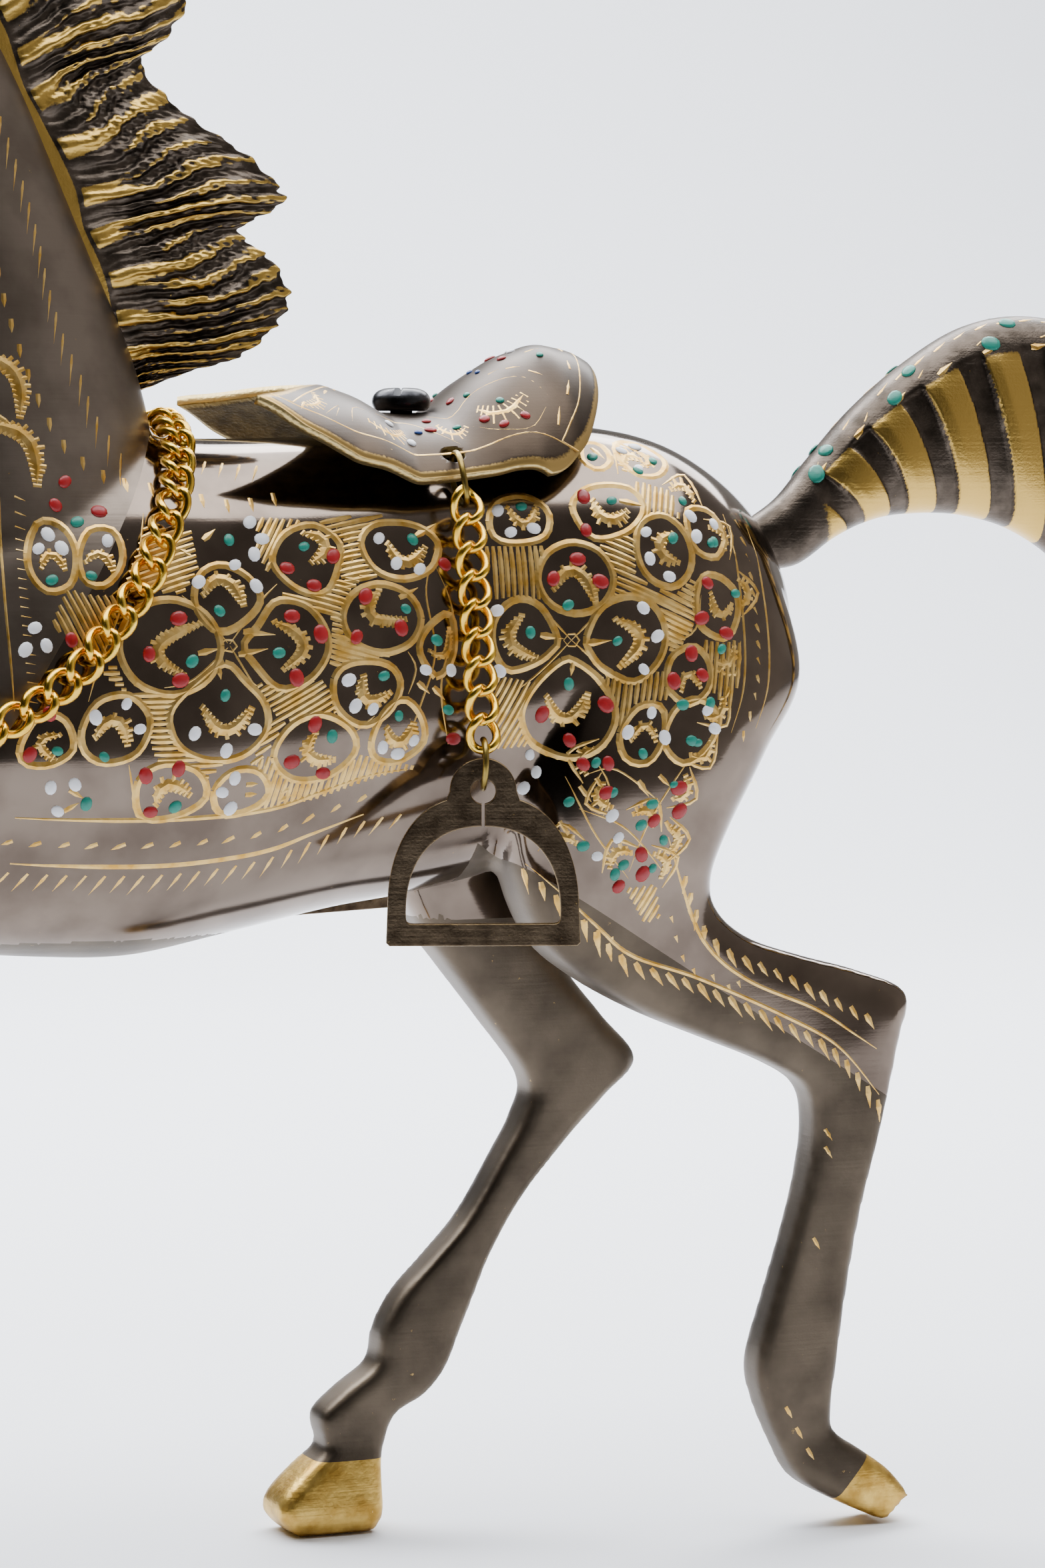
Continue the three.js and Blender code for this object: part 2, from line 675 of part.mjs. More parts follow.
/** A round-headed screw whose head clears the dished seat around it. */
function saddleScrew() {
  const dish = lookUp(saddleTopLine, screwSeatReach * screwHeadRadius / figureScale)[0] * figureScale;
  const headBase = saddleSeat + plateThickness + dish + fitGap;
  const profile = [new THREE.Vector2(0, saddleSeat - screwShankDepth)];
  profile.push(new THREE.Vector2(screwShankRadius, saddleSeat - screwShankDepth));
  profile.push(new THREE.Vector2(screwShankRadius, headBase));
  profile.push(new THREE.Vector2(screwHeadRadius, headBase));
  for (let step = 1; step <= screwDomeSteps; step += 1) {
    const angle = (0.5 * Math.PI * step) / screwDomeSteps;
    const rise = THREE.MathUtils.lerp(screwEdgeShare, 1, Math.sin(angle));
    const radius = step === screwDomeSteps ? 0 : screwHeadRadius * Math.sqrt(Math.cos(angle));
    profile.push(new THREE.Vector2(radius, headBase + screwHeadHeight * rise));
  }
  const screw = new THREE.LatheGeometry(profile, screwHeadSides);
  screw.rotateX(Math.PI / 2);
  const slot = new THREE.BoxGeometry(3 * screwHeadRadius, screwSlotWidth, 2 * screwSlotDepth);
  slot.rotateZ(screwSlotTurn).translate(0, 0, headBase + screwHeadHeight);
  return solidOf(screw).subtract(solidOf(slot));
}

/** The upper hook: a long ring through the saddle's hole and round its rim, down to the first link. */
function saddleHook(side) {
  const { middle, through, down, rim } = hookHole(side);
  const past = rim.distanceTo(middle) + plateThickness / 2;
  const length = past + chainWire + hookWire + 2 * fitGap;
  const halfLong = length / 2;
  const halfShort = plateThickness / 2 + hookWire / 2 + fitGap + hookSlack;
  const centre = middle.clone().addScaledVector(down, halfLong);
  const pointAt = (angle) => centre.clone()
    .addScaledVector(down, halfLong * Math.cos(angle))
    .addScaledVector(through, halfShort * Math.sin(angle));
  return { solid: wireRing(pointAt, centre, hookSteps, hookSides, hookWire / 2), bottom: pointAt(0) };
}

/** Half of a link beyond the wire of the hook that it hangs on. */
const linkHang = (chainPitch + linkContact * chainWire) / 2 - (hookWire + chainWire) / 2 - fitGap;

/** Links from the upper hook down over the flank, and the place of the last one. */
function stirrupChain(side, start) {
  const first = start.clone().add(new THREE.Vector3(0, 0, -linkHang));
  const away = side * (flankHalfWidth * figureScale + chainWidth / 2 + fitGap);
  const over = ({ x, y, z }) => new THREE.Vector3(first.x + x, away + side * y, first.z + z);
  const curve = new THREE.QuadraticBezierCurve3(first, over(chainShoulder), over(chainFoot));
  const length = curve.getLength();
  const outwardWay = new THREE.Vector3(0, side, 0);
  const links = [];
  let centre = first;
  for (let link = 0; link < stirrupLinks; link += 1) {
    const share = (link * chainPitch) / length;
    centre = curve.getPointAt(share);
    links.push(curbLink(centre, curve.getTangentAt(share), outwardWay, chainPitch, side * chainTwist));
  }
  return { solid: joined(links), last: centre };
}

/** The lower hook: a ring through the last link and the stirrup's lug. */
function stirrupHook(side, last) {
  const top = last.z - linkHang;
  const lugRim = stirrupLugRadius - hookHoleRadius;
  const length = lugRim + chainWire + hookWire + 4 * fitGap;
  const centre = new THREE.Vector3(last.x, last.y, top - length / 2);
  const halfShort = stirrupThickness / 2 + hookWire / 2 + fitGap + hookSlack;
  const through = new THREE.Vector3(-Math.sin(stirrupTurn), side * Math.cos(stirrupTurn), 0);
  const pointAt = (angle) => centre.clone()
    .addScaledVector(through, halfShort * Math.sin(angle))
    .add(new THREE.Vector3(0, 0, (length / 2) * Math.cos(angle)));
  return { solid: wireRing(pointAt, centre, hookSteps, hookSides, hookWire / 2), bottom: pointAt(Math.PI) };
}

/** The stirrup: a D plate with a lug, its window and the hole that the hook goes through. */
function stirrupPlate(side, hang) {
  const half = stirrupWidth / 2;
  const arch = stirrupHeight - lugSink * stirrupLugRadius;
  const [[lowX, lowZ], [highX, highZ]] = shoulderPull.map(([x, z]) => [x * half, z * arch]);
  const [sideX, sideZ] = [flankTop[0] * half, flankTop[1] * arch];
  const endX = shoulderEnd * half;
  const outline = new THREE.Shape();
  outline.moveTo(-half, 0);
  outline.lineTo(half, 0);
  outline.lineTo(sideX, sideZ);
  outline.bezierCurveTo(lowX, lowZ, highX, highZ, endX, arch);
  outline.absarc(0, stirrupHeight, stirrupLugRadius, 0, Math.PI, false);
  outline.lineTo(-endX, arch);
  outline.bezierCurveTo(-highX, highZ, -lowX, lowZ, -sideX, sideZ);
  outline.lineTo(-half, 0);
  const window = new THREE.Path();
  const inner = half - windowSide * stirrupBar;
  const corner = stirrupCornerRound;
  const top = arch - windowTop * stirrupBar;
  const [pullZ, pullX] = [windowPull[0] * top, windowPull[1] * inner];
  window.moveTo(-inner + corner, stirrupBar);
  window.lineTo(inner - corner, stirrupBar);
  window.quadraticCurveTo(inner, stirrupBar, inner, stirrupBar + corner);
  window.bezierCurveTo(inner, pullZ, pullX, top, 0, top);
  window.bezierCurveTo(-pullX, top, -inner, pullZ, -inner, stirrupBar + corner);
  window.quadraticCurveTo(-inner, stirrupBar, -inner + corner, stirrupBar);
  outline.holes.push(window);
  const hole = new THREE.Path();
  hole.absarc(0, stirrupHeight, hookHoleRadius, 0, 2 * Math.PI, true);
  outline.holes.push(hole);
  const plate = new THREE.ExtrudeGeometry(outline, {
    depth: stirrupThickness,
    bevelEnabled: false,
    curveSegments: stirrupCurveSteps,
  });
  const rise = hookHoleRadius - hookWire / 2 - 2 * fitGap;
  plate.rotateX(Math.PI / 2).translate(0, stirrupThickness / 2, 0).rotateZ(side * stirrupTurn);
  plate.translate(hang.x, hang.y, hang.z - rise - stirrupHeight);
  return solidOf(plate);
}

/** Links around the root of the neck, lying on the casting's own surface. */
function neckChain(casting) {
  const target = new THREE.Mesh(casting, new THREE.MeshBasicMaterial({ side: THREE.DoubleSide }));
  const caster = new THREE.Raycaster();
  const lift = 0.5 * linkSeatShare * chainWidth * Math.sin(chainTwist) + chainWire / 2 + fitGap;
  const hits = (route, mirror) => route.map(([x, y, z, wayX, wayY, wayZ]) => {
    const way = new THREE.Vector3(wayX, mirror * wayY, wayZ).normalize();
    const inside = new THREE.Vector3(x, mirror * y, z).multiplyScalar(figureScale);
    caster.set(inside.addScaledVector(way, 4 * backHeight), way.clone().negate());
    const hit = caster.intersectObject(target)[0];
    return { point: hit.point, out: hit.face.normal.clone().add(way).normalize() };
  });
  const route = [];
  for (let step = 0; step <= routeStepsBetween * (neckChainRoute.length - 1); step += 1) {
    route.push(smoothStation(neckChainRoute, step / routeStepsBetween));
  }
  const around = [...hits(route, 1), ...hits(route.slice(1, -1).reverse(), -1)];
  const loopAt = (height) => new THREE.CatmullRomCurve3(
    around.map(({ point, out }) => point.clone().addScaledVector(out, height)),
    true,
  );
  const loop = loopAt(lift);
  const outer = loopAt(lift + chainWidth);
  loop.arcLengthDivisions = routeLengthSteps;
  const length = loop.getLength();
  const count = Math.round(length / chainPitch);
  const links = [];
  for (let link = 0; link < count; link += 1) {
    const place = loop.getUtoTmapping(link / count);
    const centre = loop.getPoint(place);
    const outwardWay = outer.getPoint(place).sub(centre);
    links.push(curbLink(centre, loop.getTangent(place), outwardWay, length / count, chainTwist));
  }
  return joined(links);
}

function named(name, solid, finish) {
  const mesh = new THREE.Mesh(geometryOf(solid), finish);
  mesh.name = name;
  return mesh;
}

const horse = castHorse();
const clearance = castingForms(fitGap);
const figure = new THREE.Group();
figure.add(named('horse', horse, finishes.casting));
figure.add(named('mane', castMane().subtract(clearance), finishes.locks));
figure.add(named('tail', castTail().subtract(clearance), finishes.locks));
figure.add(named('saddle', bentSaddle(), finishes.plate));
figure.add(named('saddle_screw', saddleScrew(), finishes.screw));
figure.add(named('neck_chain', neckChain(geometryOf(horse)), finishes.chain));
for (const [sideName, side] of [['left', -1], ['right', 1]]) {
  const upperHook = saddleHook(side);
  const chain = stirrupChain(side, upperHook.bottom);
  const lowerHook = stirrupHook(side, chain.last);
  figure.add(named(`saddle_hook_${sideName}`, upperHook.solid, finishes.wire));
  figure.add(named(`stirrup_chain_${sideName}`, chain.solid, finishes.chain));
  figure.add(named(`stirrup_hook_${sideName}`, lowerHook.solid, finishes.wire));
  figure.add(named(`stirrup_${sideName}`, stirrupPlate(side, lowerHook.bottom), finishes.stirrup));
}

// The origin is on the ground, in the middle of the whole piece
const box = new THREE.Box3().setFromObject(figure);
const middle = box.getCenter(new THREE.Vector3());
figure.position.set(-middle.x, -middle.y, -box.min.z);

const sculpture = new THREE.Group();
sculpture.add(figure);

export default sculpture;
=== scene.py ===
"""Finished look of a small engraved brass horse with a saddle plate, chains and hung stirrups.

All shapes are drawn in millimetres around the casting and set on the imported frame.
"""

import logging
import math
from dataclasses import dataclass, field
from enum import Enum
from typing import Callable, Sequence

import bmesh
import bpy
import numpy as np
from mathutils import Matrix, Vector
from mathutils.bvhtree import BVHTree

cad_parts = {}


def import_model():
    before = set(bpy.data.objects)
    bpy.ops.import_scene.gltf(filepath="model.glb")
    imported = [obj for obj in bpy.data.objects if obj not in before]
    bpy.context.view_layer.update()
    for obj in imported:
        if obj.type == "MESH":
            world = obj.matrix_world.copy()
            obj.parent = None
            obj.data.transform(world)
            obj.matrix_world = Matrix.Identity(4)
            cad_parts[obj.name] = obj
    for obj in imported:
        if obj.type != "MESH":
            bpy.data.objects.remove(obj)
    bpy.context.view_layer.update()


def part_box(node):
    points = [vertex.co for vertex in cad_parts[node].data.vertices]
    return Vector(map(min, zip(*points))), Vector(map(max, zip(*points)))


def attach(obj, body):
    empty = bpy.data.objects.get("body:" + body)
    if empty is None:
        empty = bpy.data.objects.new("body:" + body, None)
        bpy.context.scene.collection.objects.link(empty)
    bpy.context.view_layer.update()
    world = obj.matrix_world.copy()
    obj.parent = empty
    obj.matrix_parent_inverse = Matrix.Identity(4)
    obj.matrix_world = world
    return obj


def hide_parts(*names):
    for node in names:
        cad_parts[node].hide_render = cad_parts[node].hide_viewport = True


LOG = logging.getLogger("brass_horse")
MM = 0.001
# The drawing's zero stands this far behind the middle of the whole piece, in mm
DRAWING_SHIFT = np.array([-8.8, 0.0, 0.0])
FIT_GAP = 0.3

# Stations of each cast form: front x, front z, rear x, rear z, centre y, half width
BODY = np.array([
    [-63.5, 84, -63, 79, 0, 4],
    [-62, 92, -61.5, 72, 0, 9],
    [-58.5, 100, -58, 65.5, 0, 12.6],
    [-53, 105.5, -53, 62.2, 0, 14.8],
    [-46, 108.6, -46, 60.9, 0, 16],
    [-38, 110, -38, 60.1, 0, 16.6],
    [-29, 110.2, -29, 59.9, 0, 16.8],
    [-20, 109.9, -19.5, 61.6, 0, 16.6],
    [-10, 110.1, -8.5, 63.8, 0, 16.3],
    [0, 110.7, 0, 65, 0, 16.1],
    [10, 111.1, 9, 67, 0, 16.3],
    [19, 111.1, 18, 71, 0, 16.4],
    [26, 109.8, 25, 75, 0, 15.8],
    [31.5, 107, 31, 78, 0, 14.2],
    [36, 103, 35.5, 81, 0, 11.4],
    [39, 98, 38.6, 85, 0, 7.4],
    [40.2, 94, 40, 88.5, 0, 3.4],
])
NECK = np.array([
    [-58, 84, -24, 96, 0, 13],
    [-62, 93, -25.6, 107, 0, 12.6],
    [-61.5, 104, -27.5, 116, 0, 10.6],
    [-59.5, 114.5, -30.8, 124.8, 0, 9],
    [-57.8, 124.5, -34.6, 134, 0, 7.9],
    [-57.3, 134, -38.8, 143.8, 0, 7],
    [-58.6, 142.6, -43.4, 152.6, 0, 6.4],
    [-61.5, 149, -48.4, 160.4, 0, 6],
    [-64.5, 152.5, -55.8, 163.6, 0, 4.6],
])
HEAD = np.array([
    [-52.5, 160, -60, 150, 0, 4.2],
    [-55.5, 168.2, -62.5, 148.6, 0, 6],
    [-61, 168.4, -67, 146, 0, 6.4],
    [-66, 165, -70.8, 144.6, 0, 5.9],
    [-70.2, 160.4, -73.8, 143.8, 0, 5],
    [-74, 155.4, -76.2, 142.4, 0, 4.4],
    [-77.6, 150.4, -78.6, 140.6, 0, 4.2],
    [-80.8, 145.8, -80.4, 138, 0, 4.4],
    [-82.6, 142, -81.8, 136.2, 0, 3.8],
    [-82.8, 139.2, -82.4, 136.6, 0, 2.2],
])
EAR = np.array([
    [-61.5, 164.5, -56.5, 162.5, 2.8, 1.7],
    [-60, 169.8, -55.4, 168.6, 3.5, 1.9],
    [-58.4, 173.4, -55.2, 172.6, 4, 1.5],
    [-56.6, 176.6, -55.6, 176.4, 4.2, 0.6],
])
PLANTED_FORELEG = np.array([
    [-61, 94, -42, 94, -8, 7],
    [-61.8, 79, -44, 77, -8.6, 7.6],
    [-61.5, 69, -47.6, 66, -8.6, 6.4],
    [-61.4, 60.5, -49.8, 58.6, -8.4, 5.1],
    [-61.4, 52, -51.8, 51, -8.2, 4.2],
    [-61.4, 45, -53.8, 44.4, -8, 3.6],
    [-62.2, 39.6, -54.2, 39, -8, 3.7],
    [-61.8, 35, -55, 34.6, -8, 3.2],
    [-61.2, 29, -55.8, 28.6, -8, 2.8],
    [-61.4, 20, -56, 19.6, -8, 2.7],
    [-61.9, 14.5, -55.2, 13.5, -8, 2.9],
    [-62.2, 10.6, -56.2, 9.5, -8, 2.7],
    [-64, 7.4, -56.8, 6.6, -8, 3.2],
    [-66.5, 3.4, -57.2, 3, -8, 3.9],
    [-67.6, 1, -57.4, 0.9, -8, 4.1],
    [-66.8, 0, -58, 0, -8, 3.6],
])
RAISED_FORELEG = np.array([
    [-61, 92, -42, 92, 8, 7],
    [-63.5, 80, -45, 74, 8.4, 7.2],
    [-67, 73.2, -51.4, 64.6, 8.4, 5.8],
    [-72, 69, -58.6, 58.6, 8.2, 4.6],
    [-77.4, 65.4, -65.6, 55.4, 8, 3.9],
    [-82, 60.8, -71.2, 53.2, 8, 3.7],
    [-82.2, 54, -74.2, 50.2, 8, 3.4],
    [-80.2, 47.4, -73.8, 44.8, 8, 2.9],
    [-77.6, 40, -72, 38, 8, 2.7],
    [-76, 34.6, -69.6, 32, 8, 2.9],
    [-74.2, 30, -68.4, 28, 8, 2.7],
    [-74.4, 26.4, -67, 24.4, 8, 3.2],
    [-74.8, 22, -65.4, 20, 8, 3.8],
    [-73.6, 18.8, -64.8, 17, 8, 3.6],
])
TRAILING_HIND_LEG = np.array([
    [8, 98, 36, 99, -7.4, 7.6],
    [5, 86, 38.8, 87, -8.4, 8.2],
    [5.6, 76, 34.6, 79, -8.6, 8],
    [7.6, 67, 30.4, 71.4, -8.6, 6.8],
    [10.6, 60.6, 28.6, 66.4, -8.4, 5.8],
    [15.4, 56.6, 29.6, 63, -8.2, 5],
    [22, 53, 33.2, 60.2, -8, 4.4],
    [29.5, 49.9, 39, 58.2, -8, 3.9],
    [36, 47.2, 45.4, 56.4, -8, 3.5],
    [39.8, 44.6, 50.7, 54, -8, 3.3],
    [40.6, 40.4, 50, 49.4, -8, 3.1],
    [39.8, 35, 48, 40.2, -8, 2.9],
    [38.2, 29.4, 46, 32.4, -8, 2.7],
    [36.2, 23.1, 44.4, 24.2, -8, 2.7],
    [34.5, 17, 43.2, 16.4, -8, 2.9],
    [35.2, 12.8, 42.7, 12, -8, 2.7],
    [37.2, 8.2, 43, 9.6, -8, 2.6],
    [39.3, 4.8, 45.8, 7.6, -8, 3],
    [43.2, 2.4, 48.8, 5.4, -8, 3.3],
    [48.4, 0, 51.2, 2.7, -8, 3.1],
])
LEADING_HIND_LEG = np.array([
    [6, 98, 36, 99, 7.4, 7.6],
    [0.5, 85, 38.6, 86, 8.4, 8.2],
    [0, 75, 33.6, 77, 8.6, 7.8],
    [1.6, 66.6, 24.6, 69, 8.6, 6.4],
    [4.4, 60.6, 18.6, 61.8, 8.4, 5],
    [7.6, 56.2, 19.8, 56.6, 8.2, 4.4],
    [11.6, 51, 24, 51.2, 8, 3.9],
    [16, 44.8, 27.8, 46.6, 8, 3.4],
    [15.2, 40.8, 24.6, 43, 8, 3.1],
    [13.2, 37.2, 20.4, 38.8, 8, 2.9],
    [9.4, 31.1, 15.4, 33, 8, 2.7],
    [5.6, 27, 12, 27.4, 8, 2.7],
    [2.3, 23.7, 10.2, 23.2, 8, 2.7],
    [0.2, 20.1, 8.6, 19.6, 8, 2.8],
    [-0.6, 16.6, 7, 16, 8, 2.9],
    [-3.8, 14.2, 4.8, 13.4, 8, 2.9],
    [-6.5, 11.6, 1.6, 11.6, 8, 2.9],
    [-6, 8.5, 0.3, 8.9, 8, 3],
    [-8.2, 6.5, -0.1, 6.5, 8, 3.4],
    [-10.8, 3.8, -0.1, 3.8, 8, 3.9],
    [-11.2, 1.8, -0.1, 1.8, 8, 4.1],
    [-9.6, 0, -0.8, 0, 8, 3.6],
])
TAIL = np.array([
    [37.5, 101.6, 38, 96.6, 0, 2.4],
    [41, 104, 42.6, 97, 0, 2.8],
    [44.6, 108, 47, 99.8, 0, 3.4],
    [49.4, 113, 51.4, 101.6, 0, 4.2],
    [55.2, 117.6, 56, 102.2, 0, 4.7],
    [61.7, 121.3, 61.6, 102, 0, 5],
    [68.6, 122.5, 67.6, 100.4, 0, 5.1],
    [76.4, 121, 73, 97, 0, 5],
    [84.6, 116.6, 77.6, 92, 0, 4.8],
    [91.2, 109, 81.4, 85.4, 0, 4.5],
    [95.6, 99.6, 84.6, 78.4, 0, 4.1],
    [98, 89.2, 87.6, 71.4, 0, 3.6],
    [99.2, 78.6, 90.4, 65.2, 0, 3],
    [99.8, 69, 93.6, 60.2, 0, 2.2],
    [100.4, 60, 98.2, 57, 0, 0.9],
])
# The mane's outer edge and its root along the crest: share of the crest, x, z
MANE_EDGE = np.array([
    [0, -27.2, 114.4], [0.06, -22, 116.3], [0.12, -16.7, 117.8], [0.18, -12.8, 121],
    [0.22, -11.6, 123.7], [0.26, -13.2, 127], [0.31, -16.7, 129.9], [0.35, -13.6, 131.8],
    [0.38, -12, 133.4], [0.43, -15.6, 137.1], [0.49, -22.4, 141.3], [0.54, -26.6, 145.7],
    [0.59, -23.8, 148.6], [0.63, -22, 152.6], [0.68, -26, 157], [0.73, -33, 160.6],
    [0.78, -30.6, 165], [0.81, -31, 168], [0.86, -37, 170.6], [0.9, -42.4, 170.2],
    [0.94, -43, 174], [0.97, -46, 176.4], [1, -54, 172.6],
])
MANE_CREST = np.array([
    [0, -29.5, 114.6], [0.25, -34, 126.5], [0.5, -39.5, 140.5], [0.75, -46.5, 154.5], [1, -56, 166.5],
])
# The saddle's top line over the seat and the drop of its edge: x, height
SADDLE_TOP = np.array([
    [-20, 4.4], [-16, 4.3], [-13, 3.7], [-9.5, 2.9], [-6.5, 1.9], [-3.4, 0.1], [0, 0],
    [3.2, 0.1], [6.9, 3.3], [10.5, 5.6], [14, 6.9], [17, 6.3], [19, 5.2],
])
SADDLE_DROP = np.array([
    [-20, 3], [-18, 3.5], [-15.7, 4.8], [-13, 5.4], [-9.5, 6.5], [-5.1, 6], [0, 5.5],
    [3.2, 5.2], [5.3, 6.7], [9, 8.8], [13.1, 14], [16.7, 19.3], [19, 23],
])
# Points inside the casting and the way out from each, where the neck chain lies
NECK_CHAIN_ROUTE = np.array([
    [-24.6, 0, 100, 0, 0, 1],
    [-26, -4, 100, 0, -0.55, 1],
    [-28, -4, 98, 0, -1, 0.62],
    [-31.3, -4, 95, 0, -1, 0.2],
    [-36.4, -4, 90.8, 0, -1, 0],
    [-42.2, -4, 85.2, -0.05, -1, 0],
    [-49, -4, 81, -0.25, -1, 0],
    [-54, -3, 78.5, -0.8, -1, 0],
    [-55, 0, 77, -1, 0, 0],
])


class Side(Enum):
    """The two sides of the horse, with the sign of y on each."""

    LEFT = -1
    RIGHT = 1


def linear(code: str) -> tuple[float, float, float, float]:
    """Turns a screen colour into the linear one that shaders use.

    Args:
        code: Six hexadecimal digits.

    Returns:
        Red, green, blue and full opacity.
    """
    parts = [int(code[place:place + 2], 16) / 255 for place in (0, 2, 4)]
    light = [part / 12.92 if part <= 0.04045 else ((part + 0.055) / 1.055) ** 2.4 for part in parts]
    return (light[0], light[1], light[2], 1.0)


def add_node(
    tree: bpy.types.NodeTree,
    kind: str,
    settings: dict | None = None,
    values: dict | None = None,
    links: dict | None = None,
) -> bpy.types.Node:
    """Adds one node with its settings, socket values and incoming links.

    Args:
        tree: The node tree that takes the node.
        kind: Blender's name of the node type.
        settings: Properties of the node itself.
        values: Values of its input sockets, by name or place.
        links: Output sockets that feed its inputs, by name or place.

    Returns:
        The new node.
    """
    node = tree.nodes.new(kind)
    for name, value in (settings or {}).items():
        setattr(node, name, value)
    for name, value in (values or {}).items():
        node.inputs[name].default_value = value
    for name, source in (links or {}).items():
        tree.links.new(source, node.inputs[name])
    return node


def set_ramp(node: bpy.types.Node, stops: Sequence[tuple[float, float]]) -> None:
    """Sets a colour ramp to grey stops.

    Args:
        node: The colour ramp node.
        stops: Places along the ramp and how bright each is.
    """
    ramp = node.color_ramp
    while len(ramp.elements) < len(stops):
        ramp.elements.new(1.0)
    for element, (place, level) in zip(ramp.elements, stops):
        element.position = place
        element.color = (level, level, level, 1.0)


@dataclass(frozen=True)
class MetalFinish:
    """A metal with mottling, worn-through places, scratches and a fine grain."""

    name: str
    slot: str
    base: str
    varied: str
    worn: str
    roughness: float
    worn_roughness: float
    mottle_mm: float = 7.0
    grain_mm: float = 0.25
    grain_depth_mm: float = 0.004
    scratch_depth_mm: float = 0.003
    specks: float = 0.0
    speck_mm: float = 1.2
    smudge: float = 0.12

    def build(self) -> bpy.types.Material:
        """Makes the material.

        Returns:
            A material whose "wear" attribute shows the worn metal from 0 to 1.
        """
        material = bpy.data.materials.new(self.name)
        material.use_nodes = True
        tree = material.node_tree
        tree.nodes.clear()
        place = add_node(tree, "ShaderNodeTexCoord").outputs["Object"]
        mottle = add_node(
            tree, "ShaderNodeTexNoise", values={"Scale": 1 / (self.mottle_mm * MM), "Detail": 4.0}, links={"Vector": place}
        )
        mottle_mask = add_node(tree, "ShaderNodeValToRGB", links={"Fac": mottle.outputs["Fac"]})
        set_ramp(mottle_mask, [(0.38, 0.0), (0.66, 1.0)])
        plated = add_node(
            tree,
            "ShaderNodeMix",
            {"data_type": "RGBA"},
            {6: linear(self.base), 7: linear(self.varied)},
            {0: mottle_mask.outputs["Color"]},
        )
        fine = add_node(
            tree, "ShaderNodeTexNoise", values={"Scale": 1 / (self.grain_mm * MM), "Detail": 3.0}, links={"Vector": place}
        )
        specks = add_node(
            tree, "ShaderNodeTexNoise", values={"Scale": 1 / (self.speck_mm * MM), "Detail": 6.0, "Roughness": 0.7},
            links={"Vector": place},
        )
        speck_mask = add_node(tree, "ShaderNodeValToRGB", links={"Fac": specks.outputs["Fac"]})
        edge = 0.74 - 0.16 * self.specks
        set_ramp(speck_mask, [(edge, 0.0), (edge + 0.03, 1.0 if self.specks else 0.0)])
        wear = add_node(tree, "ShaderNodeAttribute", {"attribute_name": "wear"})
        rubbed = add_node(
            tree, "ShaderNodeMath", {"operation": "MULTIPLY_ADD"}, {1: 0.55},
            {0: fine.outputs["Fac"], 2: wear.outputs["Fac"]},
        )
        rubbed_mask = add_node(tree, "ShaderNodeValToRGB", links={"Fac": rubbed.outputs["Value"]})
        set_ramp(rubbed_mask, [(0.55, 0.0), (0.85, 1.0)])
        bare = add_node(
            tree, "ShaderNodeMath", {"operation": "MAXIMUM"},
            links={0: rubbed_mask.outputs["Color"], 1: speck_mask.outputs["Color"]},
        )
        colour = add_node(
            tree, "ShaderNodeMix", {"data_type": "RGBA"}, {7: linear(self.worn)},
            {0: bare.outputs["Value"], 6: plated.outputs[2]},
        )
        smear = add_node(
            tree, "ShaderNodeTexNoise", values={"Scale": 1 / (3.1 * self.mottle_mm * MM), "Detail": 5.0},
            links={"Vector": place},
        )
        smooth = add_node(
            tree, "ShaderNodeMapRange",
            values={"To Min": max(0.02, self.roughness - self.smudge / 2), "To Max": self.roughness + self.smudge},
            links={"Value": smear.outputs["Fac"]},
        )
        roughness = add_node(
            tree, "ShaderNodeMix", {"data_type": "FLOAT"}, {3: self.worn_roughness},
            {0: bare.outputs["Value"], 2: smooth.outputs["Result"]},
        )
        stretched = add_node(
            tree, "ShaderNodeMapping", values={"Scale": (40.0, 260.0, 2600.0), "Rotation": (0.2, 0.5, 0.3)},
            links={"Vector": place},
        )
        scratch = add_node(
            tree, "ShaderNodeTexNoise", values={"Scale": 1.0, "Detail": 2.0}, links={"Vector": stretched.outputs["Vector"]}
        )
        grain = add_node(
            tree, "ShaderNodeBump", values={"Strength": 1.0, "Distance": self.grain_depth_mm * MM},
            links={"Height": fine.outputs["Fac"]},
        )
        lined = add_node(
            tree, "ShaderNodeBump", values={"Strength": 1.0, "Distance": self.scratch_depth_mm * MM},
            links={"Height": scratch.outputs["Fac"], "Normal": grain.outputs["Normal"]},
        )
        shader = add_node(
            tree, "ShaderNodeBsdfPrincipled", values={"Metallic": 1.0},
            links={
                "Base Color": colour.outputs[2],
                "Roughness": roughness.outputs[0],
                "Normal": lined.outputs["Normal"],
            },
        )
        add_node(tree, "ShaderNodeOutputMaterial", links={"Surface": shader.outputs["BSDF"]})
        return material


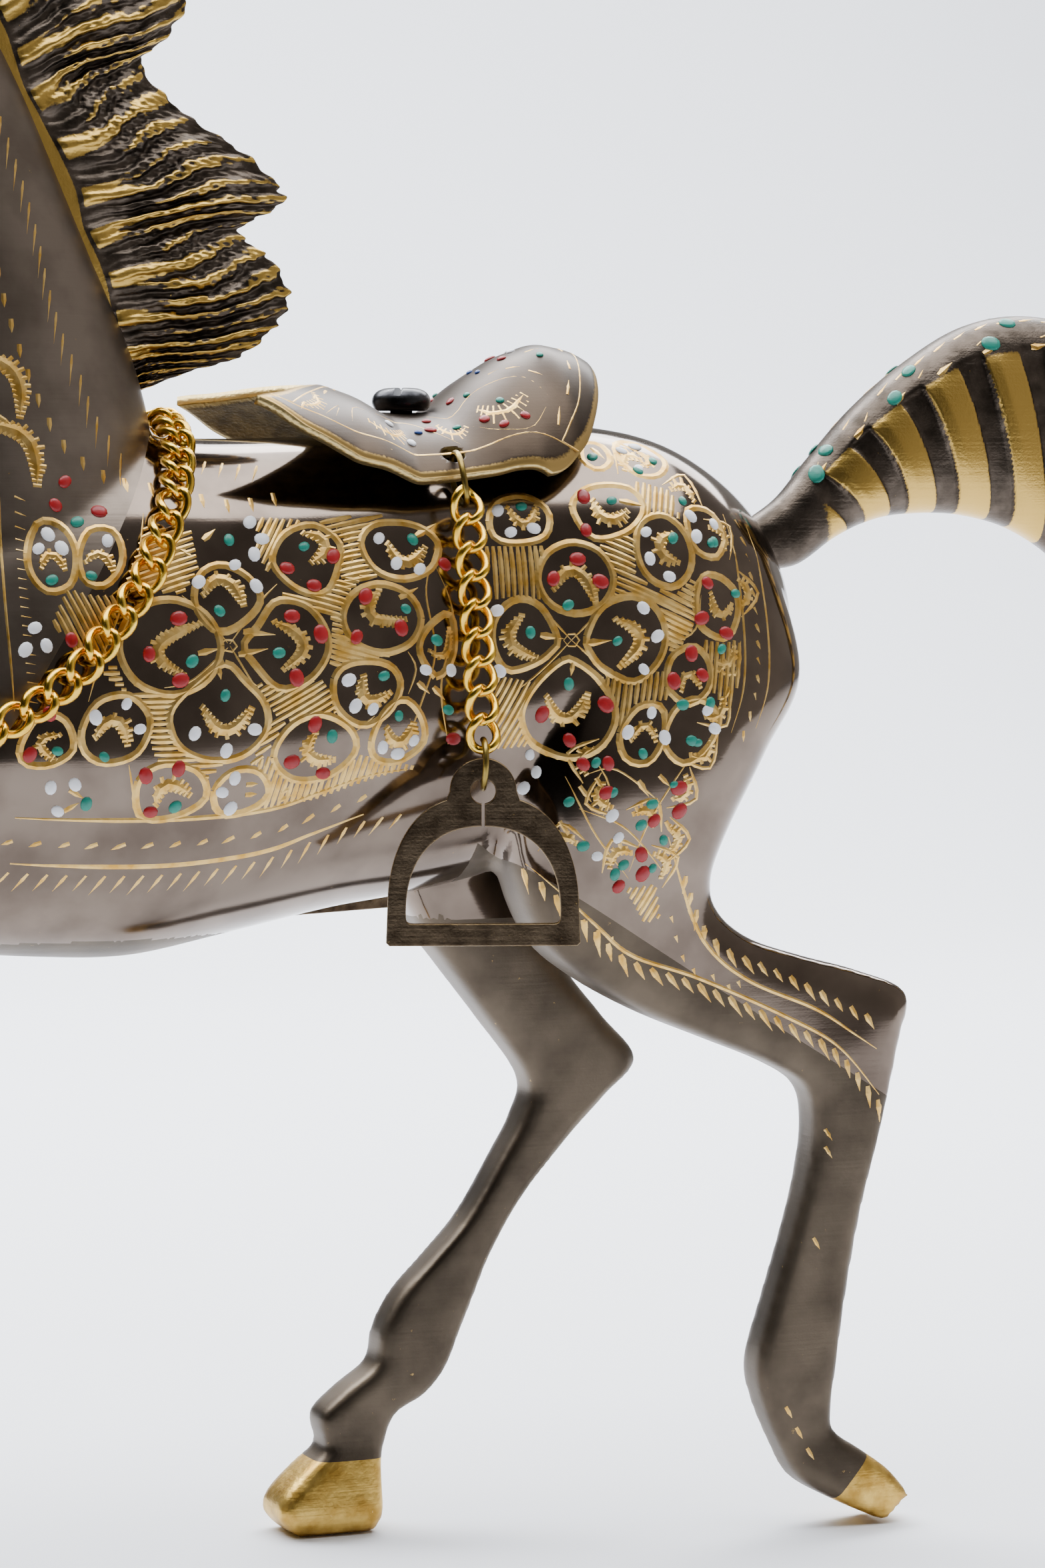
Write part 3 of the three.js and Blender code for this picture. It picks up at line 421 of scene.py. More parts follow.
@dataclass(frozen=True)
class EnamelFinish:
    """Glossy paint dropped into a cut seat, slightly uneven in tone."""

    name: str
    slot: str
    base: str
    varied: str

    def build(self) -> bpy.types.Material:
        """Makes the material.

        Returns:
            A coated paint material.
        """
        material = bpy.data.materials.new(self.name)
        material.use_nodes = True
        tree = material.node_tree
        tree.nodes.clear()
        place = add_node(tree, "ShaderNodeTexCoord").outputs["Object"]
        tone = add_node(tree, "ShaderNodeTexNoise", values={"Scale": 1 / (0.6 * MM), "Detail": 3.0}, links={"Vector": place})
        colour = add_node(
            tree, "ShaderNodeMix", {"data_type": "RGBA"}, {6: linear(self.base), 7: linear(self.varied)},
            {0: tone.outputs["Fac"]},
        )
        bump = add_node(
            tree, "ShaderNodeBump", values={"Strength": 1.0, "Distance": 0.03 * MM}, links={"Height": tone.outputs["Fac"]}
        )
        shader = add_node(
            tree, "ShaderNodeBsdfPrincipled",
            values={"Roughness": 0.45, "Coat Weight": 0.16, "Coat Roughness": 0.15},
            links={"Base Color": colour.outputs[2], "Normal": bump.outputs["Normal"]},
        )
        add_node(tree, "ShaderNodeOutputMaterial", links={"Surface": shader.outputs["BSDF"]})
        return material


@dataclass(frozen=True)
class PaperFinish:
    """Matt pale paper for the floor and the sweep behind the horse."""

    name: str
    base: str
    varied: str

    def build(self) -> bpy.types.Material:
        """Makes the material.

        Returns:
            A matt material with a faint tone change.
        """
        material = bpy.data.materials.new(self.name)
        material.use_nodes = True
        tree = material.node_tree
        tree.nodes.clear()
        place = add_node(tree, "ShaderNodeTexCoord").outputs["Object"]
        tone = add_node(tree, "ShaderNodeTexNoise", values={"Scale": 14.0, "Detail": 2.0}, links={"Vector": place})
        colour = add_node(
            tree, "ShaderNodeMix", {"data_type": "RGBA"}, {6: linear(self.base), 7: linear(self.varied)},
            {0: tone.outputs["Fac"]},
        )
        shader = add_node(
            tree, "ShaderNodeBsdfPrincipled", values={"Roughness": 0.75}, links={"Base Color": colour.outputs[2]}
        )
        add_node(tree, "ShaderNodeOutputMaterial", links={"Surface": shader.outputs["BSDF"]})
        return material


# Polished brass under a dark nickel plating: the eye sees a brown-grey mirror with a few brassy specks
DARK_NICKEL = MetalFinish(
    "dark_nickel_plated_brass", "casting", "786b60", "62564d", "b3935c", 0.07, 0.3,
    grain_depth_mm=0.0012, scratch_depth_mm=0.002, specks=0.25,
)
# The same plating left satin by a file on the legs, with brass showing through in grains
SATIN_NICKEL = MetalFinish(
    "satin_nickel_plated_brass", "casting", "64594c", "4d443a", "a88b58", 0.43, 0.4,
    grain_depth_mm=0.008, scratch_depth_mm=0.012, specks=0.35, speck_mm=0.9,
)
# The plating rubbed with cloth on the neck and chest, so it gleams without mirroring
RUBBED_NICKEL = MetalFinish(
    "rubbed_nickel_plated_brass", "casting", "82766b", "6c6157", "b3935c", 0.36, 0.36,
    grain_depth_mm=0.004, scratch_depth_mm=0.012, specks=0.3,
)
# Bare brass of the hooves, brushed by hand to a soft shine
BARE_BRASS = MetalFinish(
    "brushed_bare_brass", "casting", "d9b45f", "a8823a", "efd28a", 0.38, 0.34,
    grain_depth_mm=0.05, scratch_depth_mm=0.03, mottle_mm=2.4, specks=0.3, grain_mm=0.5,
)
# Cast locks with ground ridges of raw brass over black hollows: the eye reads gold and black stripes
LOCK_BRASS = MetalFinish(
    "ridge_ground_lock_brass", "locks", "5c5249", "3d362f", "c7a355", 0.34, 0.34,
    grain_depth_mm=0.03, scratch_depth_mm=0.03, mottle_mm=2.2, specks=0.3, speck_mm=0.7,
)
# Cold-bent sheet with brown plating, rubbed to yellow metal along its rims
SADDLE_PLATE = MetalFinish(
    "brown_plated_sheet_brass", "plate", "473c32", "382f27", "bd9d60", 0.34, 0.4,
    grain_depth_mm=0.006, scratch_depth_mm=0.01, specks=0.2,
)
# The sheet's raw back, rough from sand casting and olive with age; its colour is also darkened as painted shade for the
# shade that falls under the plate
RAW_UNDERSIDE_WITH_PAINTED_SHADE = MetalFinish(
    "sand_rough_olive_brass", "plate", "57482b", "3a2f1a", "7d6a3f", 0.6, 0.5,
    grain_mm=0.35, grain_depth_mm=0.12, scratch_depth_mm=0.02, mottle_mm=2.0,
)
# The sheet's cut edge, hammered sandy brass
SANDY_EDGE = MetalFinish(
    "hammered_sandy_brass_edge", "plate", "9a8556", "6d5c37", "cdb57c", 0.48, 0.4,
    grain_mm=0.4, grain_depth_mm=0.1, scratch_depth_mm=0.02, mottle_mm=1.4, specks=0.5, speck_mm=0.6,
)
# Blackened steel screw with bright burrs at its slot
BLACK_STEEL = MetalFinish(
    "blackened_steel", "screw", "4a4a4d", "2a2a2c", "a9a39b", 0.3, 0.3, grain_depth_mm=0.01, mottle_mm=1.6,
    specks=0.5, speck_mm=1.0,
)
# Lacquered curb chain: a deep yellow mirror
BRIGHT_CHAIN = MetalFinish(
    "polished_gold_coloured_brass", "chain", "fbd052", "ecb83c", "ffe08a", 0.22, 0.2,
    grain_depth_mm=0.002, scratch_depth_mm=0.003, mottle_mm=2.0,
)
# Dull drawn brass wire
DRAWN_WIRE = MetalFinish(
    "drawn_olive_brass_wire", "wire", "9c8546", "7b6833", "c4a965", 0.3, 0.3, grain_depth_mm=0.006, mottle_mm=1.5,
)
# Dark antique bronzing with brass rubbed free on the edges
ANTIQUE_STIRRUP = MetalFinish(
    "dark_antique_brass", "stirrup", "6a5b49", "463a2d", "a98d5a", 0.38, 0.34,
    grain_depth_mm=0.03, scratch_depth_mm=0.03, specks=0.5, speck_mm=0.7, mottle_mm=2.0,
)
# Bright-cut strokes through the plating into fresh brass
BRIGHT_CUT = MetalFinish(
    "bright_cut_brass", "engraving", "e9c377", "cf9f4a", "f8e2ad", 0.38, 0.3,
    grain_depth_mm=0.006, scratch_depth_mm=0.004, mottle_mm=1.4,
)
# Drops of hard glossy enamel
RED_ENAMEL = EnamelFinish("red_enamel", "enamel", "b00a14", "8a0710")
WHITE_ENAMEL = EnamelFinish("white_enamel", "enamel", "fdfdff", "f2f4fa")
GREEN_ENAMEL = EnamelFinish("green_enamel", "enamel", "109580", "0b7564")
BLUE_ENAMEL = EnamelFinish("blue_enamel", "enamel", "27509e", "1b3b7c")
SWEEP_PAPER = PaperFinish("white_sweep_paper", "f3f5fa", "f0f2f7")


def to_row(points: np.ndarray) -> np.ndarray:
    """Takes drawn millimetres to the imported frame's metres.

    Args:
        points: Drawn points, one per row.

    Returns:
        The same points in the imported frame.
    """
    return (np.asarray(points, float) + DRAWING_SHIFT) * MM


def smooth_rows(rows: np.ndarray, places: np.ndarray) -> np.ndarray:
    """Runs a smooth curve through rows of values.

    Args:
        rows: The values at each station.
        places: Where to read it, from 0 to the last station.

    Returns:
        One row of values for each place.
    """
    start = np.minimum(places.astype(int), len(rows) - 2)
    share = (places - start)[:, None]
    before = rows[np.maximum(start - 1, 0)]
    low = rows[start]
    high = rows[start + 1]
    after = rows[np.minimum(start + 2, len(rows) - 1)]
    leave = (high - before) / 2
    arrive = (after - low) / 2
    rise = high - low
    return low + share * (leave + share * ((3 * rise - 2 * leave - arrive) + share * (leave + arrive - 2 * rise)))


def look_up(rows: np.ndarray, at: np.ndarray) -> np.ndarray:
    """Reads straight lines between rows of position and values.

    Args:
        rows: A position and its values in each row.
        at: The positions to read.

    Returns:
        The values at those positions.
    """
    return np.stack([np.interp(at, rows[:, 0], rows[:, column]) for column in range(1, rows.shape[1])], axis=-1)


@dataclass
class Shell:
    """Vertices in drawn millimetres, faces and each face's finish."""

    points: list[np.ndarray] = field(default_factory=list)
    faces: list[tuple[int, ...]] = field(default_factory=list)
    finish: list[int] = field(default_factory=list)
    wear: list[np.ndarray] = field(default_factory=list)
    count: int = 0

    def add(self, points: np.ndarray, faces: Sequence[Sequence[int]], finish: int = 0, wear: np.ndarray | None = None) -> None:
        """Adds a patch.

        Args:
            points: Its vertices.
            faces: Its faces, by place in points.
            finish: Which of the piece's finishes it takes.
            wear: How worn each vertex is.
        """
        self.points.append(np.asarray(points, float))
        self.wear.append(np.zeros(len(points)) if wear is None else wear)
        self.faces.extend(tuple(place + self.count for place in face) for face in faces)
        self.finish.extend([finish] * len(faces))
        self.count += len(points)

    def piece(self, name: str, finishes: Sequence[MetalFinish | EnamelFinish], smooth: bool = True) -> bpy.types.Object:
        """Makes the object that shows in the scene.

        Args:
            name: The object's name.
            finishes: Its finishes in the order of the faces' numbers.
            smooth: Whether its faces are shaded as one surface.

        Returns:
            The new object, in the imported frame.
        """
        mesh = bpy.data.meshes.new(name)
        mesh.from_pydata(to_row(np.concatenate(self.points)).tolist(), [], self.faces)
        for finish in finishes:
            mesh.materials.append(finish_material(finish))
        mesh.polygons.foreach_set("material_index", self.finish)
        mesh.polygons.foreach_set("use_smooth", [smooth] * len(mesh.polygons))
        attribute = mesh.attributes.new("wear", "FLOAT", "POINT")
        attribute.data.foreach_set("value", np.concatenate(self.wear).astype(np.float32))
        mesh.update()
        item = bpy.data.objects.new(name, mesh)
        bpy.context.scene.collection.objects.link(item)
        return item


_MADE: dict[str, bpy.types.Material] = {}


def finish_material(finish: MetalFinish | EnamelFinish | PaperFinish) -> bpy.types.Material:
    """Gives a finish's material, made once.

    Args:
        finish: The finish.

    Returns:
        Its material.
    """
    if finish.name not in _MADE:
        _MADE[finish.name] = finish.build()
    return _MADE[finish.name]


def tube_faces(rows: int, sides: int, closed: bool) -> list[tuple[int, ...]]:
    """Faces around rows of points.

    Args:
        rows: How many rows there are.
        sides: Points in each row.
        closed: Whether the last row joins the first; otherwise both ends are capped.

    Returns:
        The faces.
    """
    faces: list[tuple[int, ...]] = []
    for row in range(rows if closed else rows - 1):
        after = (row + 1) % rows
        for side in range(sides):
            beside = (side + 1) % sides
            faces.append((row * sides + side, row * sides + beside, after * sides + beside, after * sides + side))
    if not closed:
        faces.append(tuple(range(sides))[::-1])
        faces.append(tuple((rows - 1) * sides + side for side in range(sides)))
    return faces


def signed_power(values: np.ndarray, power: float | np.ndarray) -> np.ndarray:
    """Raises sizes to a power and keeps their signs.

    Args:
        values: The values.
        power: The power.

    Returns:
        The raised values.
    """
    return np.sign(values) * np.abs(values) ** power


def loft(
    stations: np.ndarray,
    rings: int,
    sides: int,
    square: float = 2.0,
    square_by: float = 0.0,
    ripple: Callable[[np.ndarray, np.ndarray], np.ndarray] | None = None,
) -> tuple[np.ndarray, list[tuple[int, ...]]]:
    """Rounds a cast form through its stations.

    Args:
        stations: The form's stations.
        rings: Rings along it.
        sides: Points around it.
        square: How boxy its section becomes, with 2 for an ellipse.
        square_by: The share of its length where it is fully boxy.
        ripple: A change of width by share and by place across the section.

    Returns:
        Points and faces.
    """
    share = np.linspace(0, 1, rings)
    rows = smooth_rows(stations, share * (len(stations) - 1))
    boxy = np.minimum(1, share / square_by) if square_by else np.ones(rings)
    power = (2 / (2 + (square - 2) * boxy))[:, None]
    angle = np.linspace(0, 2 * np.pi, sides, endpoint=False)[None, :]
    along = signed_power(np.cos(angle), power)
    across = signed_power(np.sin(angle), power)
    wide = rows[:, 5:6] * (1 + (ripple(share[:, None], along) if ripple else 0))
    points = np.stack([
        (rows[:, 0:1] + rows[:, 2:3]) / 2 + (rows[:, 0:1] - rows[:, 2:3]) / 2 * along,
        rows[:, 4:5] + wide * across,
        (rows[:, 1:2] + rows[:, 3:4]) / 2 + (rows[:, 1:2] - rows[:, 3:4]) / 2 * along,
    ], axis=-1)
    return points.reshape(-1, 3), tube_faces(rings, sides, False)


def remeshed(item: bpy.types.Object, voxel_mm: float) -> None:
    """Fuses overlapping closed shells into one skin.

    Args:
        item: The object.
        voxel_mm: The size of the skin's facets.
    """
    modifier = item.modifiers.new("fuse", "REMESH")
    modifier.mode = "VOXEL"
    modifier.voxel_size = voxel_mm * MM
    depsgraph = bpy.context.evaluated_depsgraph_get()
    fused = bpy.data.meshes.new_from_object(item.evaluated_get(depsgraph))
    materials = list(item.data.materials)
    item.modifiers.clear()
    item.data = fused
    item.data.materials.clear()
    for material in materials:
        item.data.materials.append(material)


def relax(item: bpy.types.Object, rounds: int, weight: Callable[[np.ndarray], np.ndarray]) -> None:
    """Evens a dense skin without shrinking it.

    Args:
        item: The object.
        rounds: How often it is evened.
        weight: How strongly each vertex takes part, from its place in drawn mm.
    """
    mesh = item.data
    total = len(mesh.vertices)
    places = np.empty(total * 3)
    mesh.vertices.foreach_get("co", places)
    places = places.reshape(-1, 3)
    edges = np.empty(len(mesh.edges) * 2, np.int64)
    mesh.edges.foreach_get("vertices", edges)
    edges = edges.reshape(-1, 2)
    degree = np.bincount(edges.ravel(), minlength=total)[:, None]
    share = weight(places / MM - DRAWING_SHIFT)[:, None]
    for step in range(2 * rounds):
        factor = 0.5 if step % 2 == 0 else -0.52
        around = np.zeros_like(places)
        for axis in range(3):
            around[:, axis] = np.bincount(edges[:, 0], places[edges[:, 1], axis], total)
            around[:, axis] += np.bincount(edges[:, 1], places[edges[:, 0], axis], total)
        places += factor * share * (around / degree - places)
    mesh.vertices.foreach_set("co", places.ravel())
    mesh.update()


def skin_tree(item: bpy.types.Object) -> BVHTree:
    """A search tree over an object's faces.

    Args:
        item: The object.

    Returns:
        The tree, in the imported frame's metres.
    """
    mesh = item.data
    return BVHTree.FromPolygons([vertex.co[:] for vertex in mesh.vertices], [face.vertices[:] for face in mesh.polygons])


def cast_on(tree: BVHTree, start: np.ndarray, way: np.ndarray) -> tuple[np.ndarray, np.ndarray] | None:
    """Finds where a line meets a skin.

    Args:
        tree: The skin's search tree.
        start: The line's start in drawn mm.
        way: Its direction.

    Returns:
        The point in drawn mm and the skin's normal, or None.
    """
    hit, normal, _, _ = tree.ray_cast(Vector(to_row(start)), Vector(way).normalized())
    if hit is None:
        return None
    normal = np.array(normal)
    if normal @ way > 0:
        normal = -normal
    return np.array(hit) / MM - DRAWING_SHIFT, normal


def unit(vector: np.ndarray) -> np.ndarray:
    """A vector of length one.

    Args:
        vector: Any vector.

    Returns:
        The same way with length one.
    """
    return vector / max(np.linalg.norm(vector), 1e-12)


def wire_ring(points: np.ndarray, centre: np.ndarray, sides: int, radius: float, flatten: float = 1.0) -> tuple[np.ndarray, list]:
    """A wire around a closed line.

    Args:
        points: Points of its centre line.
        centre: The middle of the ring.
        sides: Points around the wire.
        radius: The wire's radius.
        flatten: The wire's thickness across the ring, as a share of that along it.

    Returns:
        Points and faces.
    """
    tangent = np.roll(points, -1, 0) - np.roll(points, 1, 0)
    tangent /= np.linalg.norm(tangent, axis=1)[:, None]
    inward = centre - points
    inward -= (inward * tangent).sum(1)[:, None] * tangent
    inward /= np.linalg.norm(inward, axis=1)[:, None]
    beside = np.cross(tangent, inward)
    angle = np.linspace(0, 2 * np.pi, sides, endpoint=False)
    ring = (
        points[:, None, :]
        + radius * np.cos(angle)[None, :, None] * inward[:, None, :]
        + radius * flatten * np.sin(angle)[None, :, None] * beside[:, None, :]
    )
    return ring.reshape(-1, 3), tube_faces(len(points), sides, True)


def tell(item: bpy.types.Object) -> None:
    """Reports a finished piece.

    Args:
        item: The piece.
    """
    LOG.info("%s: %d faces", item.name, len(item.data.polygons))


def settle(item: bpy.types.Object, slot: str, *nodes: str) -> bpy.types.Object:
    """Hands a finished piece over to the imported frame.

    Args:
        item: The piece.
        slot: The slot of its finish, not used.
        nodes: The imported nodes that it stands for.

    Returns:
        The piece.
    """
    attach(item, "root")
    if nodes:
        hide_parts(*nodes)
    tell(item)
    return item


@dataclass
class Casting:
    """The horse itself: barrel, neck, head, ears and legs in one skin with hooves of bare brass."""

    voxel_mm: float = 0.62
    quick_voxel_mm: float = 0.9
    rounds: int = 14
    hoof_height: float = 7.3
    raised_hoof: tuple[float, float] = (-63.0, 24.5)
    trailing_hoof: tuple[float, float, float] = (43.0, 3.1, 0.87)
    chain_line: tuple[float, float, float] = (-30.0, 106.0, 1.55)
    thigh_line: tuple[float, float, float] = (8.0, 68.2, 0.61)

    def build(self) -> bpy.types.Object:
        """Fuses the forms and dresses them.

        Returns:
            The casting.
        """
        shell = Shell()
        for stations, rings, sides, square, square_by in (
            (BODY, 90, 96, 2.0, 0.0),
            (NECK, 60, 72, 2.0, 0.0),
            (HEAD, 60, 48, 2.3, 0.0),
            (PLANTED_FORELEG, 110, 48, 5.5, 0.45),
            (RAISED_FORELEG, 100, 48, 5.5, 0.45),
            (TRAILING_HIND_LEG, 130, 48, 5.5, 0.45),
            (LEADING_HIND_LEG, 140, 48, 5.5, 0.45),
        ):
            shell.add(*loft(stations, rings, sides, square, square_by))
        for side in Side:
            ear = EAR.copy()
            ear[:, 4] *= side.value
            shell.add(*loft(ear, 16, 16))
            self.add_eye(shell, side)
        item = shell.piece("engraved_casting", [DARK_NICKEL, SATIN_NICKEL, BARE_BRASS, RUBBED_NICKEL])
        remeshed(item, self.voxel_mm)
        relax(item, self.rounds, self.softness)
        self.score(item)
        self.dress(item)
        return settle(item, "casting", "horse")

    def add_eye(self, shell: Shell, side: Side) -> None:
        """Adds an almond eye.

        Args:
            shell: The shell that takes it.
            side: The side of the head.
        """
        turn, rise = np.meshgrid(np.linspace(0, 2 * np.pi, 16, endpoint=False), np.linspace(-1.5, 1.5, 9))
        ball = np.stack([1.9 * np.cos(turn) * np.cos(rise), 1.1 * np.sin(rise), 1.3 * np.sin(turn) * np.cos(rise)], -1)
        ball = ball.reshape(-1, 3) + np.array([-66.4, side.value * 5.3, 160.2])
        shell.add(ball, tube_faces(9, 16, False))

    def softness(self, places: np.ndarray) -> np.ndarray:
        """Says how strongly each place is evened.

        Args:
            places: Places in drawn mm.

        Returns:
            More on the barrel, less on the legs and head.
        """
        return np.clip((places[:, 2] - 54) / 14, 0.5, 1.0)

    def score(self, item: bpy.types.Object) -> None:
        """Cuts a clean line into the skin where each hoof and the rubbed front start.

        Args:
            item: The casting.
        """
        form = bmesh.new()
        form.from_mesh(item.data)
        shift = Vector(DRAWING_SHIFT)
        start_x, start_z, slope = self.trailing_hoof
        chain_x, chain_z, chain_slope = self.chain_line
        thigh_x, thigh_z, thigh_slope = self.thigh_line
        for place, way, reach in (
            ((0.0, 0.0, self.hoof_height), (0.0, 0.0, 1.0), lambda spot: spot.z < 12),
            ((0.0, 0.0, self.raised_hoof[1]), (0.0, 0.0, 1.0), lambda spot: spot.x < -55 and spot.z < 40),
            ((start_x, 0.0, start_z), (1.0, 0.0, -slope), lambda spot: spot.x > 30 and spot.z < 14),
            ((chain_x, 0.0, chain_z), (-chain_slope, 0.0, 1.0), lambda spot: spot.x < -20 and spot.z > 60),
            ((thigh_x, 0.0, thigh_z), (thigh_slope, 0.0, 1.0), lambda spot: spot.x > 2 and spot.y < 0 and spot.z > 34),
        ):
            faces = [face for face in form.faces if reach(face.calc_center_median() / MM - shift)]
            edges = {edge for face in faces for edge in face.edges}
            corners = {corner for face in faces for corner in face.verts}
            bmesh.ops.bisect_plane(
                form, geom=[*faces, *edges, *corners], dist=1e-6,
                plane_co=(Vector(place) + shift) * MM, plane_no=Vector(way),
            )
        form.to_mesh(item.data)
        form.free()

    def dress(self, item: bpy.types.Object) -> None:
        """Gives the faces their finishes and keeps the skin inside the drawn height.

        Args:
            item: The casting.
        """
        mesh = item.data
        low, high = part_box("horse")
        places = np.empty(len(mesh.vertices) * 3)
        mesh.vertices.foreach_get("co", places)
        places = np.clip(places.reshape(-1, 3), np.array(low), np.array(high))
        mesh.vertices.foreach_set("co", places.ravel())
        centres = np.empty(len(mesh.polygons) * 3)
        mesh.polygons.foreach_get("center", centres)
        centres = centres.reshape(-1, 3) / MM - DRAWING_SHIFT
        index = np.zeros(len(centres), np.int32)
        thigh_x, thigh_z, thigh_slope = self.thigh_line
        leg_top = np.where(centres[:, 0] < -60, 74.0, 62.0)
        thigh = (centres[:, 0] > 4) & (centres[:, 1] < 0)
        leg_top = np.where(thigh, thigh_z - thigh_slope * (centres[:, 0] - thigh_x), leg_top)
        legs = centres[:, 2] < leg_top
        chain_x, chain_z, chain_slope = self.chain_line
        index[centres[:, 2] > chain_z + chain_slope * (centres[:, 0] - chain_x)] = 3
        index[legs] = 1
        raised = (centres[:, 0] < self.raised_hoof[0]) & (centres[:, 2] < self.raised_hoof[1]) & (centres[:, 1] > 0)
        start_x, start_z, slope = self.trailing_hoof
        behind = (centres[:, 0] > 30) & (centres[:, 1] < 0)
        block = centres[:, 0] - start_x > (centres[:, 2] - start_z) * slope
        low_hoof = centres[:, 2] < self.hoof_height
        index[np.where(behind, block & (centres[:, 2] < 12), low_hoof) | raised] = 2
        mesh.polygons.foreach_set("material_index", index)
        mesh.polygons.foreach_set("use_smooth", [True] * len(mesh.polygons))
        mesh.attributes.new("wear", "FLOAT", "POINT")
        mesh.update()


@dataclass
class Mane:
    """Cast locks that stand off the crest, their strands ground to gold ridges."""

    rows: int = 560
    columns: int = 84
    root_half_width: float = 3.3
    tip_half_width: float = 0.9
    bands: float = 14.0
    strands: float = 37.0
    strand_depth: float = 0.42

    def build(self) -> bpy.types.Object:
        """Makes the locks.

        Returns:
            The mane.
        """
        row, column = np.meshgrid(np.linspace(0, 1, self.rows + 1), np.linspace(0, 1, self.columns + 1), indexing="ij")
        root = look_up(MANE_CREST, row)
        places = np.interp(row.ravel(), MANE_EDGE[:, 0], np.arange(len(MANE_EDGE)))
        tip = smooth_rows(MANE_EDGE[:, 1:], places).reshape(*row.shape, 2)
        sway = row - 0.08 * column + 0.006 * np.sin(3.1 * column + 7 * row) + 0.003 * np.sin(7.3 * column - 19 * row + 1)
        band = np.cos(2 * np.pi * self.bands * sway)
        fine = sway + 0.004 * np.sin(9 * column + 11 * row) + 0.0012 * np.sin(31 * column + 67 * row)
        strand = np.cos(2 * np.pi * self.strands * fine)
        hair = np.cos(2 * np.pi * 2.6 * self.strands * fine + 3 * np.sin(7 * column))
        patch = np.sin(2 * np.pi * 5.3 * sway + 2 * np.sin(4 * column)) * np.cos(5 * column + 17 * row)
        ragged = np.sin(431 * fine + 19 * column) * np.sin(83 * column + 57 * row)
        fray = np.clip((column - 0.2) / 0.3, 0, 1)
        mixed = band * (1 - 0.8 * fray) + 0.75 * strand * fray + 0.3 * hair * fray
        gold = mixed - 0.02 - 0.3 * column + 0.5 * patch * fray + 0.35 * ragged * fray
        wear = np.clip(1.7 * gold + 0.1, 0, 0.92)
        wear = np.where(column < 0.1, 0.8, wear)
        # A dark line beside the crest strip: painted shade of a groove that the shape does not cut
        wear = np.where(np.abs(column - 0.115) < 0.012, 0.0, wear).ravel()
        full = np.minimum(1, np.minimum(4 * row, 6 * (1 - row)))
        half = self.root_half_width + (self.tip_half_width - self.root_half_width) * column ** 1.4
        relief = 0.25 * band * (1 - fray) + self.strand_depth * signed_power(strand, 0.6) * (0.25 + 0.75 * fray)
        relief = relief + (0.1 * ragged + 0.09 * hair + 0.25 * patch) * fray
        crest = np.where(column < 0.1, 0.0, 1.0) * np.clip((column - 0.1) * 20, 0, 1)
        thick = half * (0.5 + 0.5 * full) + relief * crest * (1 - column ** 4)
        worn_tip = 1 + (0.012 * (strand - 1) + 0.008 * (ragged - 1)) * column ** 4
        flat = root + (tip - root) * (column * worn_tip)[..., None]
        shell = Shell()
        sheets = []
        for side in (1, -1):
            sheets.append(np.stack([flat[..., 0], side * thick, flat[..., 1]], -1).reshape(-1, 3))
        faces = sheet_faces(self.rows, self.columns)
        shell.add(np.concatenate(sheets), faces, 0, np.concatenate([wear, wear]))
        item = shell.piece("wavy_mane", [LOCK_BRASS])
        return settle(item, "locks", "mane")


def sheet_faces(rows: int, columns: int) -> list[tuple[int, ...]]:
    """Faces of two matching grids joined around their rim.

    Args:
        rows: Steps along the sheet.
        columns: Steps across it.

    Returns:
        The faces, with the second grid after the first.
    """
    across = columns + 1
    layer = (rows + 1) * across
    faces: list[tuple[int, ...]] = []
    for row in range(rows):
        for column in range(columns):
            corner = row * across + column
            faces.append((corner, corner + 1, corner + across + 1, corner + across))
            faces.append((layer + corner, layer + corner + across, layer + corner + across + 1, layer + corner + 1))
    rim = list(range(columns)) + [row * across + columns for row in range(rows)]
    rim += [rows * across + column for column in range(columns, 0, -1)] + [row * across for row in range(rows, 0, -1)]
    for place, start in enumerate(rim):
        end = rim[(place + 1) % len(rim)]
        faces.append((start, layer + start, layer + end, end))
    return faces


